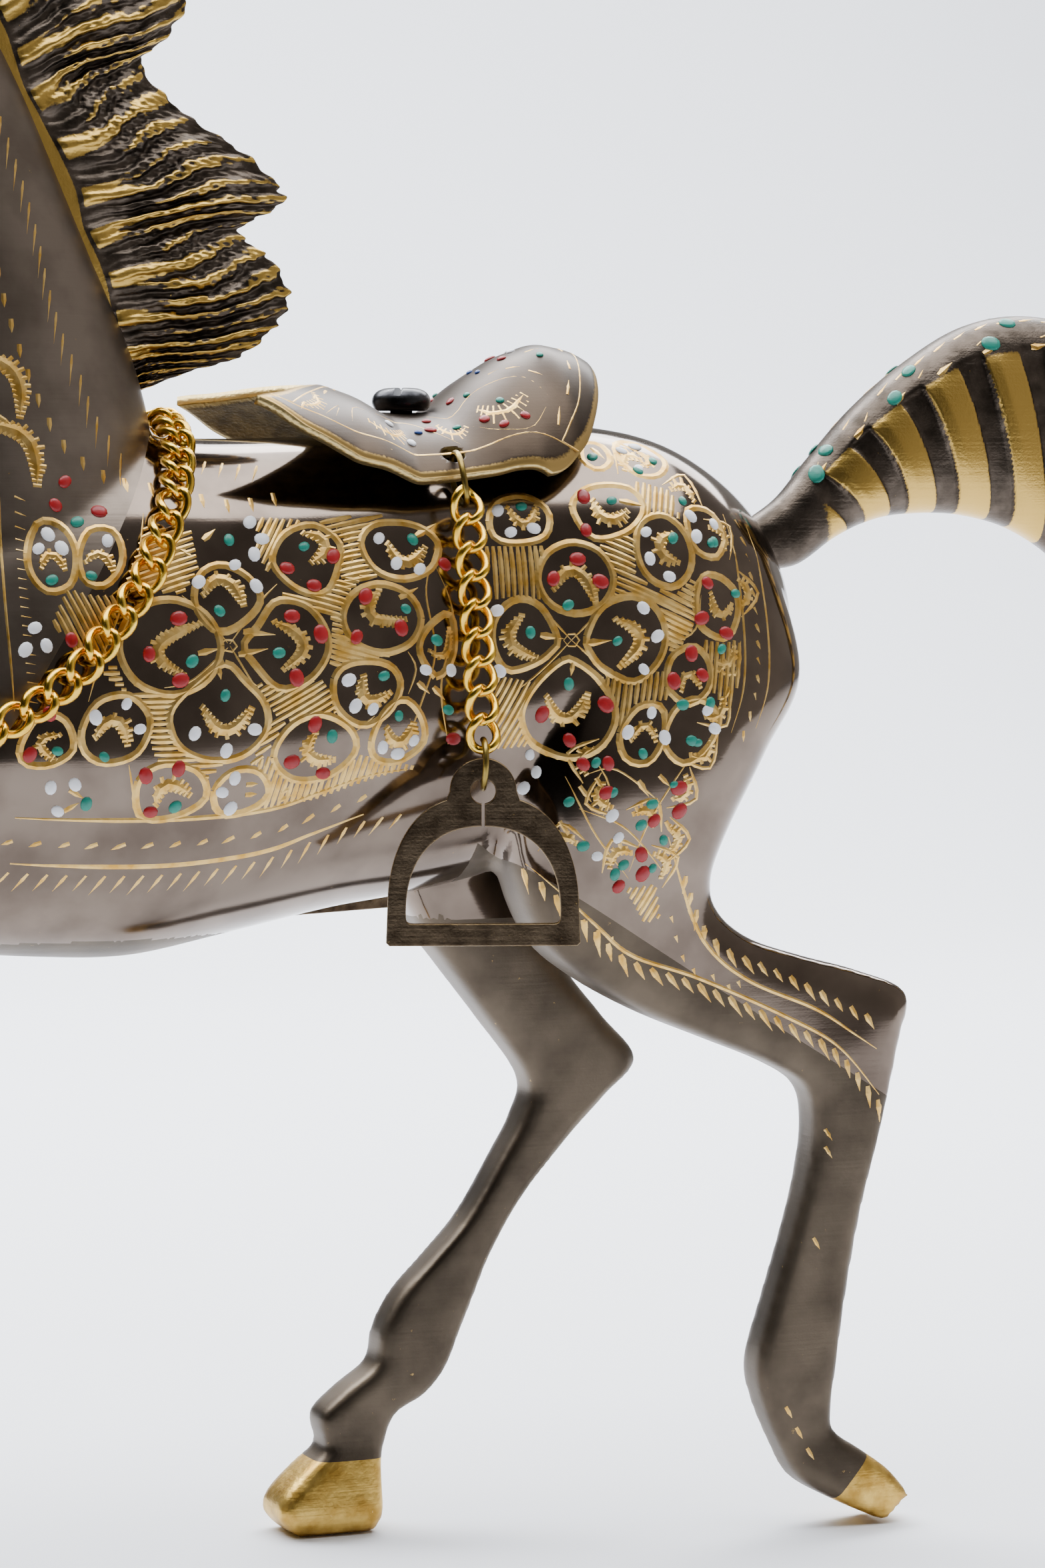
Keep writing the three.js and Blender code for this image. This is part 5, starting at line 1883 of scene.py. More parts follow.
@dataclass
class Engraver:
    """Lays cut strokes and enamel drops on a canvas."""

    canvas: Canvas
    cuts: Shell
    drops: Shell
    random: np.random.Generator
    sink: float = 0.012
    crown_share: float = 0.2
    hatch_pitch: float = 0.62
    hatch_width: float = 0.62
    tick_pitch: float = 0.5
    line_share: float = 1.0
    drop_share: float = 1.0

    def stroke(self, points: Sequence[tuple[float, float]], width: float, taper: float = 0.35, closed: bool = False) -> None:
        """Cuts one stroke.

        Args:
            points: Its drawn points.
            width: Its width in mm.
            taper: Its width at the ends as a share of that.
            closed: Whether it returns to its start.
        """
        line = curve_through(points, 0.8, closed)
        placed = [self.canvas.lay(float(across), float(up)) for across, up in line]
        run: list[tuple[np.ndarray, np.ndarray]] = []
        for found in [*placed, None]:
            if found is None or (run and np.linalg.norm(found[0] - run[-1][0]) > 2.4):
                self.ribbon(run, width, taper)
                run = []
            if found is not None:
                run.append(found)

    def ribbon(self, run: list[tuple[np.ndarray, np.ndarray]], width: float, taper: float) -> None:
        """Adds one stroke's facets.

        Args:
            run: Points on the skin with the ways off it.
            width: Its width in mm.
            taper: Its width at the ends as a share of that.
        """
        if len(run) < 2:
            return
        points = np.array([point for point, _ in run])
        normals = np.array([normal for _, normal in run])
        along = np.gradient(points, axis=0)
        along /= np.maximum(np.linalg.norm(along, axis=1), 1e-9)[:, None]
        beside = np.cross(normals, along)
        share = np.linspace(0, 1, len(run))
        half = 0.5 * self.line_share * width * (taper + (1 - taper) * np.minimum(1, 4 * np.minimum(share, 1 - share)))[:, None]
        lift = self.crown_share * half
        rows = np.stack([
            points + half * beside - self.sink * normals,
            points + 0.15 * half * beside + lift * normals,
            points - half * beside - self.sink * normals,
        ], 1)
        faces = []
        for place in range(len(run) - 1):
            start = 3 * place
            faces += [(start, start + 1, start + 4, start + 3), (start + 1, start + 2, start + 5, start + 4)]
        self.cuts.add(rows.reshape(-1, 3), faces)

    def wedge(self, start: tuple[float, float], end: tuple[float, float], width: float = 0.9) -> None:
        """Cuts a stroke that narrows to a point.

        Args:
            start: Its broad end.
            end: Its point.
            width: Its width at the broad end.
        """
        placed = [self.canvas.lay(*place) for place in curve_through([start, end], 0.7)]
        if any(found is None for found in placed):
            return
        points = np.array([point for point, _ in placed])
        normals = np.array([normal for _, normal in placed])
        along = np.gradient(points, axis=0)
        along /= np.maximum(np.linalg.norm(along, axis=1), 1e-9)[:, None]
        beside = np.cross(normals, along)
        share = np.linspace(0, 1, len(points))[:, None]
        half = 0.5 * self.line_share * width * np.clip(1.1 - share, 0.08, 1) * np.clip(0.55 + 2.5 * share, 0, 1)
        rows = np.stack([
            points + half * beside - self.sink * normals,
            points - 0.2 * half * beside + self.crown_share * half * normals,
            points - half * beside - self.sink * normals,
        ], 1)
        faces = []
        for place in range(len(points) - 1):
            start_at = 3 * place
            faces += [(start_at, start_at + 1, start_at + 4, start_at + 3), (start_at + 1, start_at + 2, start_at + 5, start_at + 4)]
        self.cuts.add(rows.reshape(-1, 3), faces)

    def crescent(self, points: Sequence[tuple[float, float]], depth: float = 1.5) -> None:
        """Cuts a half moon out of short strokes side by side.

        Args:
            points: Three places along its inner line.
            depth: How broad it is in the middle.
        """
        line = curve_through(points, self.tick_pitch)
        along = np.gradient(line, axis=0)
        along /= np.linalg.norm(along, axis=1)[:, None]
        bow = np.array(points[1]) - (np.array(points[0]) + np.array(points[-1])) / 2
        out = np.stack([along[:, 1], -along[:, 0]], -1)
        out *= np.where(out @ bow >= 0, 1.0, -1.0)[:, None]
        share = np.linspace(0, 1, len(line))
        reach = depth * (0.35 + 0.65 * np.sin(np.pi * share)) * self.random.uniform(0.9, 1.1, len(line))
        self.stroke([tuple(spot) for spot in line + 0.42 * reach[:, None] * out], 0.6 * depth + 0.3, 0.15)
        for spot, way, side, far in zip(line, along, out, reach):
            slant = side + 0.35 * way
            self.stroke([tuple(spot - 0.12 * side), tuple(spot + far * slant)], 0.6, 0.8)

    def ticks(self, points: Sequence[tuple[float, float]], pitch: float, reach: float, turn: float, width: float = 0.5) -> None:
        """Cuts a row of slanted ticks along a line.

        Args:
            points: The line.
            pitch: The distance between ticks.
            reach: How long each one is.
            turn: Its angle to the line in degrees.
            width: Its width.
        """
        line = curve_through(points, pitch)
        along = np.gradient(line, axis=0)
        angle = math.radians(turn)
        for spot, way in zip(line, along):
            way = way / max(np.linalg.norm(way), 1e-9)
            slant = np.array([
                way[0] * math.cos(angle) - way[1] * math.sin(angle),
                way[0] * math.sin(angle) + way[1] * math.cos(angle),
            ])
            self.wedge(tuple(spot), tuple(spot + reach * self.random.uniform(0.8, 1.15) * slant), width)

    def hatch(self, outline: Sequence[tuple[float, float]], turn: float, kept: Sequence[np.ndarray]) -> None:
        """Fills a ground with strokes side by side.

        Args:
            outline: The ground's corners.
            turn: The strokes' angle in degrees.
            kept: Closed lines that stay free.
        """
        loop = np.array(outline, float)
        angle = math.radians(turn)
        along = np.array([math.cos(angle), math.sin(angle)])
        beside = np.array([-along[1], along[0]])
        reach = loop @ along
        levels = loop @ beside
        near = [shape for shape in kept if self.overlaps(shape, loop)]
        for level in np.arange(levels.min() + self.hatch_pitch / 2, levels.max(), self.hatch_pitch):
            at = np.arange(reach.min(), reach.max(), 0.12)
            wobble = self.random.uniform(-0.05, 0.05)
            spots = at[:, None] * along + (level + wobble) * beside
            free = inside_loop(spots, loop)
            for shape in near:
                free &= ~inside_loop(spots, shape)
            edges = np.flatnonzero(np.diff(np.concatenate([[0], free.astype(int), [0]])))
            for start, end in zip(edges[::2], edges[1::2]):
                if end - start > 4:
                    self.stroke([tuple(spots[start]), tuple(spots[end - 1])], self.hatch_width, 0.7)

    @staticmethod
    def overlaps(shape: np.ndarray, loop: np.ndarray) -> bool:
        """Tells whether the boxes around two closed lines meet.

        Args:
            shape: One closed line.
            loop: The other one.

        Returns:
            Whether they meet.
        """
        return bool((shape.min(0) < loop.max(0)).all() and (loop.min(0) < shape.max(0)).all())

    def drop(self, across: float, up: float, colour: Enamel, radius: float) -> None:
        """Sets one drop of enamel.

        Args:
            across: The first drawn coordinate.
            up: The second.
            colour: Its colour.
            radius: Its radius in mm.
        """
        found = self.canvas.lay(across, up)
        if found is None:
            return
        point, normal = found
        first = unit(np.cross(normal, np.array([0.31, 0.2, 0.93])))
        second = np.cross(normal, first)
        sides = 12
        size = self.drop_share * radius * self.random.uniform(0.85, 1.12)
        lean = self.random.uniform(0, math.pi)
        rows = []
        for share, rise in ((1.0, -0.06), (0.92, 0.1), (0.6, 0.2), (0.02, 0.24)):
            for step in range(sides):
                angle = 2 * math.pi * step / sides
                long = size * share * (1 + 0.12 * math.cos(2 * (angle - lean)))
                rows.append(point + long * (math.cos(angle) * first + math.sin(angle) * second) + rise * normal)
        self.drops.add(np.array(rows), tube_faces(4, sides, False), colour.value)


@dataclass(frozen=True)
class Motif:
    """One cell of the ornament, in the canvas's own coordinates."""

    loop: tuple = ()
    crescents: tuple = ()
    wedges: tuple = ()
    lines: tuple = ()
    red: tuple = ()
    white: tuple = ()
    green: tuple = ()
    blue: tuple = ()
    depth: float = 1.5

    def mirrored(self, sign: int) -> "Motif":
        """Gives this cell on the other half of a plate.

        Args:
            sign: 1 for the cell as drawn with its second coordinate turned over, -1 as it is.

        Returns:
            The cell.
        """
        if sign < 0:
            return self

        def turn(item: tuple) -> tuple:
            """Turns the second coordinate over in nested places."""
            if item and isinstance(item[0], (int, float)):
                return (item[0], -item[1])
            return tuple(turn(part) for part in item)

        return Motif(
            turn(self.loop), turn(self.crescents), turn(self.wedges), turn(self.lines),
            turn(self.red), turn(self.white), turn(self.green), turn(self.blue), self.depth,
        )

    def draw(self, engraver: Engraver, outline_width: float = 0.85) -> None:
        """Draws the cell.

        Args:
            engraver: Who cuts it.
            outline_width: The width of its outline.
        """
        if self.loop:
            engraver.stroke(self.loop, outline_width, 1.0, True)
        for crescent in self.crescents:
            engraver.crescent(crescent, self.depth)
        for start, end in self.wedges:
            engraver.wedge(start, end, 1.0)
        for line in self.lines:
            engraver.stroke(line, 0.3)
        for colour, spots, radius in (
            (Enamel.RED, self.red, 0.78),
            (Enamel.WHITE, self.white, 0.66),
            (Enamel.GREEN, self.green, 0.6),
            (Enamel.BLUE, self.blue, 0.56),
        ):
            for across, up in spots:
                engraver.drop(across, up, colour, radius)


def ring(across: float, up: float, wide: float, high: float) -> tuple:
    """Corners of an oval.

    Args:
        across: Its middle.
        up: Its middle.
        wide: Half its width.
        high: Half its height.

    Returns:
        Eight places on it.
    """
    turns = [2 * math.pi * step / 8 for step in range(8)]
    return tuple((across + wide * math.cos(turn), up + high * math.sin(turn)) for turn in turns)


# Leaves, arcs and drops on the left half of the saddle, in drawn x and y
SADDLE_LEAVES = (
    Motif(
        crescents=(((6, -6.8), (7.4, -8.2), (9.6, -7.7)),), green=((7.7, -7.6),), red=((5.8, -8.6), (7, -10), (9, -9.8)),
        lines=(((4.6, -8.6), (6.3, -10.2), (9, -10.8), (11.2, -9)), ((1.1, -4), (4, -5.4), (6.4, -4.4), (10.2, -5.6), (11.9, -8))),
        depth=1.7,
    ),
    Motif(crescents=(((1.2, -6.6), (2, -8), (4, -8)),), green=((3.1, -7.6),), red=((0.4, -5.6), (0, -7.6)), depth=1.4),
    Motif(
        crescents=(((-7.4, -9), (-5.6, -9.4), (-3.8, -8)),), blue=((-1.5, -8.1),), white=((-5.1, -8), (-3, -9.7)),
        lines=(((-6.8, -7.4), (-2.5, -6), (0.1, -8), (2.1, -10.2)),), depth=1.3,
    ),
    Motif(wedges=(((10, -3.8), (11, -4.4)), ((11.4, -5.2), (12.4, -6)), ((8.6, -3), (9.6, -3.2)), ((12.6, -2), (13.8, -2)))),
    Motif(red=((5, -2.6), (10.6, -1.4)), green=((6.1, -4), (13.4, -3.4)), white=((12, -0.2),), blue=((8.4, -1),)),
    Motif(lines=(((-12.4, -10.6), (-10.1, -8.2), (-11.2, -10.2)), ((-9.4, -10), (-8.4, -7.6), (-7.2, -7.4)))),
    Motif(crescents=(((-14.6, -10.4), (-13, -9), (-12.6, -7.4)),), depth=1.2),
)
# The flower behind the shoulder: a heart with four petals, each with a half moon, a green drop and two more
SHOULDER_FLOWER = (
    Motif(
        ring(-29.3, 3, 5, 5.4), (((-26, 5.5), (-30, 2.6), (-28, 0)),), (((-26.6, 2.2), (-24.4, 2.7)),),
        red=((-28.3, 6.2), (-31.4, 2.2), (-28.4, -0.8)), green=((-27.2, 1.3),),
    ),
    Motif(
        ((-26.6, 8.6), (-25.6, 11.3), (-23.4, 12.2), (-21, 10.8), (-20, 8.2), (-22, 5.6), (-24.3, 4.6), (-26, 6.2)),
        (((-25.6, 8.6), (-23.8, 10), (-22, 7.6)),), green=((-24.2, 7),),
        white=((-26, 10.3), (-22.2, 12.2), (-20.3, 9.8), (-20.1, 13.4), (-19.1, 15.1), (-20, 17)),
    ),
    Motif(
        ((-20.5, 5.2), (-18.5, 8), (-15.6, 7.6), (-13.8, 5), (-13.6, 2), (-15.5, -1), (-18.5, -2), (-20.8, 0.6), (-22, 3)),
        (((-19, 5.6), (-16.6, 3), (-18.2, 0.4)),), (((-22.6, 2), (-19.6, 2.6)), ((-22, 4.6), (-18.8, 4.2))),
        red=((-17, 6.3), (-14.2, 4.2), (-16.8, -0.8)), green=((-18.5, 2.1),),
    ),
    Motif(
        ((-24, 1), (-27.3, -1.5), (-29.5, -4.5), (-28.6, -7.8), (-25.5, -9.4), (-22, -9), (-19.8, -6.6), (-20, -3.6), (-22, -1)),
        (((-26.2, -3.6), (-24, -5.8), (-21.6, -4)),), (((-24.6, 0.6), (-24.4, -0.8)),),
        green=((-24, -2.6),), white=((-27, -6.6), (-21, -6.4), (-23.8, -8.5)),
    ),
    Motif(lines=(
        ((-23.4, 3.2), (-20.4, 7.6), (-18.2, 10)), ((-23.6, 2.8), (-27.2, -0.8), (-30, -1.6)),
        ((-23.4, 3), (-21.4, -1), (-20.6, -1.8)), ((-23.6, 3.3), (-25.6, 6.4), (-27.8, 8.8)),
        ((-24.4, 3.1), (-23.5, 3.8), (-22.7, 3), (-23.5, 2.2), (-24.4, 3.1)),
    )),
)
# The flower behind the stirrup's chain
LOIN_FLOWER = (
    Motif(
        ring(12.2, 9.9, 3.9, 3.9), (((9.9, 8.6), (12, 10.2), (13.8, 7.2)),),
        red=((12.6, 12), (14.7, 9.5), (9.9, 10)), green=((11.2, 7),),
    ),
    Motif(
        ((10, 3.2), (8.3, 7), (5.8, 7.8), (3.6, 5.6), (3.4, 2.2), (4.8, -0.4), (7.4, 0.2), (9.2, 1.6)),
        (((6.6, 6), (5.6, 3.2), (8.2, 1)),), (((8.2, 3.7), (10.6, 3.2)),), green=((7.2, 4),), white=((3.9, 6.6), (4, -0.5)),
    ),
    Motif(
        ((13, 3.4), (14.6, 6.6), (17.6, 7.8), (20.2, 6.6), (21.4, 3.6), (20.6, 0.4), (18, -2), (15, -0.6), (13.4, 1.4)),
        (((15.8, 5.2), (18, 3), (16.4, 0)),), (((13, 2.6), (15.6, 2.9)),), green=((16.2, 2.8),),
        white=((19, 6.5), (20.5, 3.3), (19, -0.6)),
    ),
    Motif(
        ((10.4, 0.6), (7.6, -2.4), (6.4, -6), (8, -9.4), (11.4, -10.3), (14.6, -8.8), (16, -5.6), (14.6, -2), (12, 0.4)),
        (((9, -3.4), (11, -5.8), (13, -3.4)),), (((11.6, 0.4), (11.4, -1.2)),), green=((11.2, -2.2),),
        red=((8.6, -5.8), (15, -4.6), (11.4, -8.6)),
    ),
    Motif(lines=(
        ((11.4, 3), (14.4, 6.2), (16, 8)), ((11.4, 3), (8.6, 6.6), (7.6, 8)), ((11.4, 3), (14.6, -0.4), (15.4, -2)),
        ((11.4, 3), (8, -0.8), (5.6, -3)), ((10.6, 3), (11.4, 3.9), (12.2, 3), (11.4, 2.1), (10.6, 3)),
    )),
)
# The smaller cells between and around the flowers
FLANK_CELLS = (
    Motif(
        ((-18.4, 12.4), (-16.8, 15.6), (-13.6, 16.6), (-11.4, 14.6), (-11.8, 12), (-13.4, 9), (-16.2, 9.4)),
        (((-15, 15.6), (-13.4, 14.4), (-14.6, 12.6)),), red=((-17, 11.8), (-12.2, 13.1), (-14.5, 9.8)), green=((-15, 14.2),),
    ),
    Motif(
        ((-9.2, 14.6), (-7.4, 16.6), (-3.6, 16.4), (-1.4, 14.4), (-2.4, 11.6), (-5.4, 10.4), (-8.2, 11.6)),
        (((-6.4, 14.6), (-5, 12.9), (-3, 14)),), (((-3.5, 15.2), (-1.2, 16.5)),), green=((-3.9, 14.8),),
        white=((-7.3, 15), (-5.9, 12.2), (-3.6, 11.5)),
    ),
    Motif(
        ring(-7.9, 5.9, 4, 4), (((-7.8, 9.2), (-8.6, 6.6), (-5.6, 6)),), (((-6, 8.3), (-4, 9.4)),),
        red=((-9.4, 8.5), (-6, 4.8), (-10.6, 3.8)), green=((-5.4, 7),),
    ),
    Motif(
        ((-13, -1), (-11.2, 0.8), (-7.6, 0.6), (-6.2, -1.8), (-7.4, -5), (-10, -6.4), (-12.6, -4.4)),
        (((-9.8, -0.6), (-9.4, -3), (-7.4, -2.6)),), green=((-7.9, -0.8),), white=((-11.5, -1.2), (-10.8, -4.2), (-9, -4.6)),
    ),
    Motif(
        ((-19, -9.4), (-17.4, -6.2), (-14.4, -5), (-11.4, -6.6), (-10.6, -9.2), (-13, -11.6), (-16.8, -11.8)),
        (((-14.6, -7), (-15, -9), (-12.8, -9.8)),), green=((-13.1, -7.5),), red=((-14.9, -6.1), (-17.1, -10), (-13.8, -11.4)),
        lines=(((-10.6, -7), (-8.8, -5.4)),),
    ),
    Motif(
        ((-9, -8.2), (-7.8, -5), (-5.8, -3.6), (-4, -5.6), (-3.6, -8.6), (-6, -10.6), (-8.4, -10.2)),
        (((-7.4, -6.6), (-6.2, -8), (-5, -6.4)),), green=((-6.3, -5.5),), white=((-7.8, -9), (-6.2, -9.8), (-4.6, -8.4)),
    ),
    Motif(
        ((-2.6, -1), (-4.2, 2), (-3.4, 4.6), (-1, 6.4), (-0.6, 3), (-1.2, 0.4)), (((-3.2, 2.2), (-1.8, 1.8), (-1.2, 4.6)),),
        green=((-2.4, 3.3),), white=((-3.6, -0.2), (-1, -0.3)), depth=0.9,
    ),
    Motif(
        ((4.2, 16.4), (5.4, 18.6), (8.4, 19), (10.4, 17.2), (9.6, 14.6), (6.6, 14), (4.6, 14.6)),
        (((6.4, 18), (7.8, 16.4), (9.2, 18)),), green=((7.8, 17.9),), white=((6.2, 15.2), (8.6, 15.5), (5.3, 17.6)), depth=1.1,
    ),
    Motif(
        ((13, 17.6), (15.4, 19.6), (19.4, 19.4), (20.4, 17), (18, 14.6), (14.4, 14.2)),
        (((15.4, 18.3), (16.4, 16.6), (18.4, 17)),), (((18, 18), (21, 17.3)),), green=((17.2, 18),), red=((14.4, 18.6), (13.9, 15)),
    ),
    Motif(
        ((18.8, 12.6), (19.8, 15.6), (22.6, 16.4), (24.6, 14), (24.4, 10.8), (22.4, 8.8), (19.8, 9.8)),
        (((23.2, 14.4), (21.8, 13), (23.2, 11.6)),), green=((22.9, 14),), white=((20.1, 14.6), (20.1, 11.8), (22, 9.9)),
    ),
    Motif(
        ((24.8, 15), (25.4, 17.4), (28, 17.6), (29, 15), (27.6, 12.4), (25.4, 12.8)),
        green=((27.2, 13.9),), white=((25.6, 14.4), (25.4, 16.6), (28, 16.2)),
    ),
    Motif(
        ((25, 8.6), (26.6, 10.4), (29.4, 9), (29.6, 6), (28, 3), (25.2, 4.6)),
        (((26.6, 8.4), (27.6, 6.2), (28.8, 7.2)),), red=((26.2, 9.4), (25.4, 5.4), (28.1, 3.6)), depth=1.0,
    ),
    Motif(
        ((21.4, -2.6), (22, 0.8), (24.4, 2), (26, 0), (25.8, -3), (23.6, -4.6)), (((23, -3.2), (23.6, -1.6), (24.8, -2.8)),),
        red=((24.1, 1.2), (22.1, -2), (25.2, -1.4)), depth=0.9,
    ),
    Motif(
        ((21, -8.4), (22.4, -5), (25, -4.2), (27, -6.4), (25.6, -9.4), (23, -10.6)), green=((23, -4.7), (24, -8.5)),
        white=((25.7, -5.4), (26.5, -7.4), (21.1, -8.1)),
    ),
    Motif(
        ((16.4, -7.6), (18.4, -4.8), (20.8, -5), (21, -8), (19.4, -10.4), (17, -10)), (((17.6, -8.4), (19, -7.2), (20, -8.4)),),
        green=((18.8, -9.6),), white=((19.7, -5.5), (17.2, -7.5)), depth=0.9,
    ),
    Motif(
        ((-42.2, 14), (-41, 17), (-38.6, 16.8), (-37.6, 14), (-38.4, 10.4), (-40.6, 9.6), (-42, 11.4)),
        (((-41, 12.2), (-40, 13.4), (-39, 12)),), green=((-40.2, 10.9),), white=((-40, 16), (-41.1, 14.5), (-38.9, 14.4)), depth=1.0,
    ),
    Motif(
        ((-37.4, 13.4), (-36, 16.2), (-33.6, 16), (-33.2, 12.8), (-35, 10.2), (-37, 10.6)), (((-36.8, 12.6), (-35.4, 13.2), (-34.4, 11.6)),),
        green=((-36.4, 11.2),), white=((-34.4, 15),), depth=1.0,
    ),
    Motif(
        ((-38, -6), (-36.4, -3), (-33.4, -2.4), (-31.4, -5), (-32.6, -8.4), (-35.6, -9.4), (-37.6, -8.4)),
        (((-36.6, -7), (-35, -5.6), (-33.8, -7.6)),), green=((-35.8, -8.8),), white=((-36.7, -4.7), (-33.7, -3.3), (-32.4, -6)),
    ),
    Motif(
        ((-43.8, -7.6), (-42, -4.4), (-39.6, -5), (-38.8, -8), (-41, -9.6), (-43.4, -9.4)), (((-40, -6.6), (-41.6, -7.4), (-40.4, -9)),),
        green=((-40.3, -8.2),), red=((-42.9, -8.6), (-41.1, -4.3)), depth=1.0,
    ),
    Motif(
        ((-32.4, -11.2), (-30, -9.6), (-26.6, -10.4), (-25.6, -13), (-28.6, -14.6), (-32, -14.4)),
        (((-30.4, -13.6), (-29.4, -12.2), (-27.4, -12.8)),), green=((-28.6, -13.7),), red=((-31.7, -10.7), (-28.5, -10.1), (-31, -14.1)),
    ),
    Motif(
        ((-24.8, -12.4), (-23, -10.6), (-20.4, -10.8), (-19.2, -13), (-21, -14.5), (-24, -14.6)),
        white=((-22.8, -11.3), (-24, -12.6), (-23, -14.2)), wedges=(((-21.6, -12), (-20.4, -12)), ((-21.6, -13), (-20.4, -13))),
    ),
    Motif(
        ((19.6, 23.8), (20.8, 26), (23.2, 26), (24.8, 23.6), (23.2, 21.2), (20.6, 21.2)), (((21.8, 24.6), (22.6, 23.2), (21.8, 22.4)),),
        green=((23.3, 23.2),), white=((20.3, 24.3), (22.2, 25.3), (21.2, 21.8)), depth=0.9,
    ),
    Motif(((15.6, 23), (16.6, 25.4), (18.4, 25.2), (18.6, 22.8), (16.8, 21.6)), green=((16.8, 23.3),), wedges=(((17.2, 24.6), (18, 23)),)),
)
# Loose drops, leaves and stems between the cells
FLANK_STEMS = Motif(
    wedges=(
        ((-18, -13), (-16.8, -12.6)), ((-18, -13.8), (-16.8, -13.4)), ((-39, -12), (-37.6, -12.8)), ((-39.4, -14), (-38, -13.2)),
        ((-4.4, -1.6), (-3.2, -3)), ((-2.8, -2.2), (-1.6, -3.8)), ((12.4, -12.6), (13.6, -13.8)), ((14, -11.8), (15, -13)),
        ((18.4, -12), (19.6, -13.4)), ((20.6, -11.6), (21.8, -12.6)), ((10.6, -15.6), (11.8, -16.6)), ((-25, 15), (-23.6, 16.2)),
        ((-27.4, 14), (-26.2, 13)), ((21.6, -15.4), (22.6, -16.6)), ((27, -1), (28.2, 0.6)), ((27.6, -4), (28.6, -2.4)),
    ),
    lines=(
        ((-6, -10.4), (-4, -4), (-2.6, 2), (-3.2, 9), (-1.6, 14)), ((-1, -9), (-2, -2), (-0.6, 6), (-2, 12)),
        ((-5.4, -3), (-4.6, 0), (-5.4, 2)), ((18, -19), (14, -16), (11, -12)), ((21, -14), (16, -11), (13, -11.6)),
        ((24, -10), (20, -15), (18, -18.6)), ((22, -19), (17, -15.6), (12.4, -14.4)), ((-33, 9.4), (-36, 2), (-37.4, -3)),
        ((-32, 11), (-30.4, 18)), ((-33.4, -9.6), (-32.6, -13.6)), ((-12, 17), (-10.2, 13.8), (-11.4, 9.4)),
        ((26, 10.6), (24.2, 8), (25, 5)), ((22, 2.4), (24.6, 4), (25.4, 8)), ((14, -10.4), (15.4, -12.6), (14.8, -15)),
    ),
    red=(
        (-39, 18.5), (-34.7, 18.3), (-37.9, 20.2), (-38.8, 4), (-0.5, -8.4), (-1, 12), (12.7, -10.7), (15.2, -10.5), (15.1, -13),
        (22.8, -12.8), (23, -14.7), (20.3, -15.3), (19.2, -17.6), (19.5, -18.8), (17, -19.4), (-28.4, 14.8),
    ),
    white=(
        (-42.2, 5.5), (-43.2, 3), (-41.2, 3.4), (-40.8, -11.8), (-38.5, -11.5), (-40, -14), (7.7, -10.6), (8.4, -12.3),
        (7.4, -14.2), (15.8, -14.8), (16.6, -16.4), (14.5, -17.6),
    ),
    green=((-37, 17.2), (-37.3, -13.3), (-1.2, -5), (11.4, -14), (20, -14), (13, -17), (16.5, -18.7), (-22.4, 15)),
)
# Grounds filled with strokes side by side: corners, and the strokes' angle in degrees
FLANK_GROUNDS = (
    (((-34.8, 1.5), (-33.4, -2.4), (-29.4, -1.6), (-24, 0), (-27, -5), (-24, -10), (-26.6, -12), (-31, -9), (-32, -4), (-36, 0)), 0),
    (((-21, -1.4), (-14.2, -1), (-12, -4.6), (-14.6, -5.2), (-17.8, -5.6), (-19.8, -9), (-21.6, -10.6), (-19, -5)), 32),
    (((-19, 9.8), (-15.6, 7.2), (-13, 6), (-13.6, 0), (-11.4, 0.6), (-7, 1.6), (-12, 4.4), (-11, 9), (-9, 11), (-12.6, 10.4), (-15.4, 8.6)), -18),
    (((-13.6, 17.4), (-6.4, 17.6), (-9, 15.6), (-9.4, 13.4), (-8, 10.8), (-11.4, 9.2), (-12, 11.4), (-11, 14.8)), 12),
    (((3.4, 13.8), (9.4, 13.6), (8.2, 9.6), (9, 7.6), (5.4, 8), (3.6, 7.8)), 88),
    (((3.4, -0.8), (8, -2), (6, -6), (8, -9.6), (3.8, -9.8)), 66),
    (((15.6, 7), (16.4, 10), (15, 13.4), (17, 14.6), (19, 13.8), (18.4, 10.4), (20, 8.6), (22.6, 8.2), (25, 10.4), (25.2, 7.6), (24.4, 4), (22, 0.6), (20.6, 7)), -26),
    (((20, 20.4), (24, 19.4), (24.2, 16.2), (20.4, 15.8)), 72),
    (((14.4, -1.4), (17.6, -1.4), (22, -0.6), (21.4, -4.2), (18, -4.6), (16.4, -7), (15.4, -4)), 82),
    (((-21, -9.6), (-19, -9.2), (-16.8, -12), (-13, -12), (-10, -9.6), (-6, -10.8), (-3, -11.4), (-8, -12.2), (-14, -14), (-19.6, -14.6)), 76),
    (((-20, 14), (-19, 11), (-18.4, 12.6), (-17, 16), (-14, 17.2), (-19, 17.6)), 60),
    (((25, 3), (26, 0), (26, -3), (28, -6), (29.4, -2), (29.6, 3), (28, 2.4)), 84),
    (((-33.6, 9.4), (-27.6, 9), (-25.8, 11.8), (-26, 16), (-30.6, 16.4)), 20),
    (((-36, 1), (-34.6, 6), (-33, 9), (-36.4, 9), (-39, 9.8), (-40.6, 6), (-38, 2)), -70),
)
FLANK_KEPT = tuple(motif.loop for motif in (*SHOULDER_FLOWER, *LOIN_FLOWER, *FLANK_CELLS) if motif.loop)


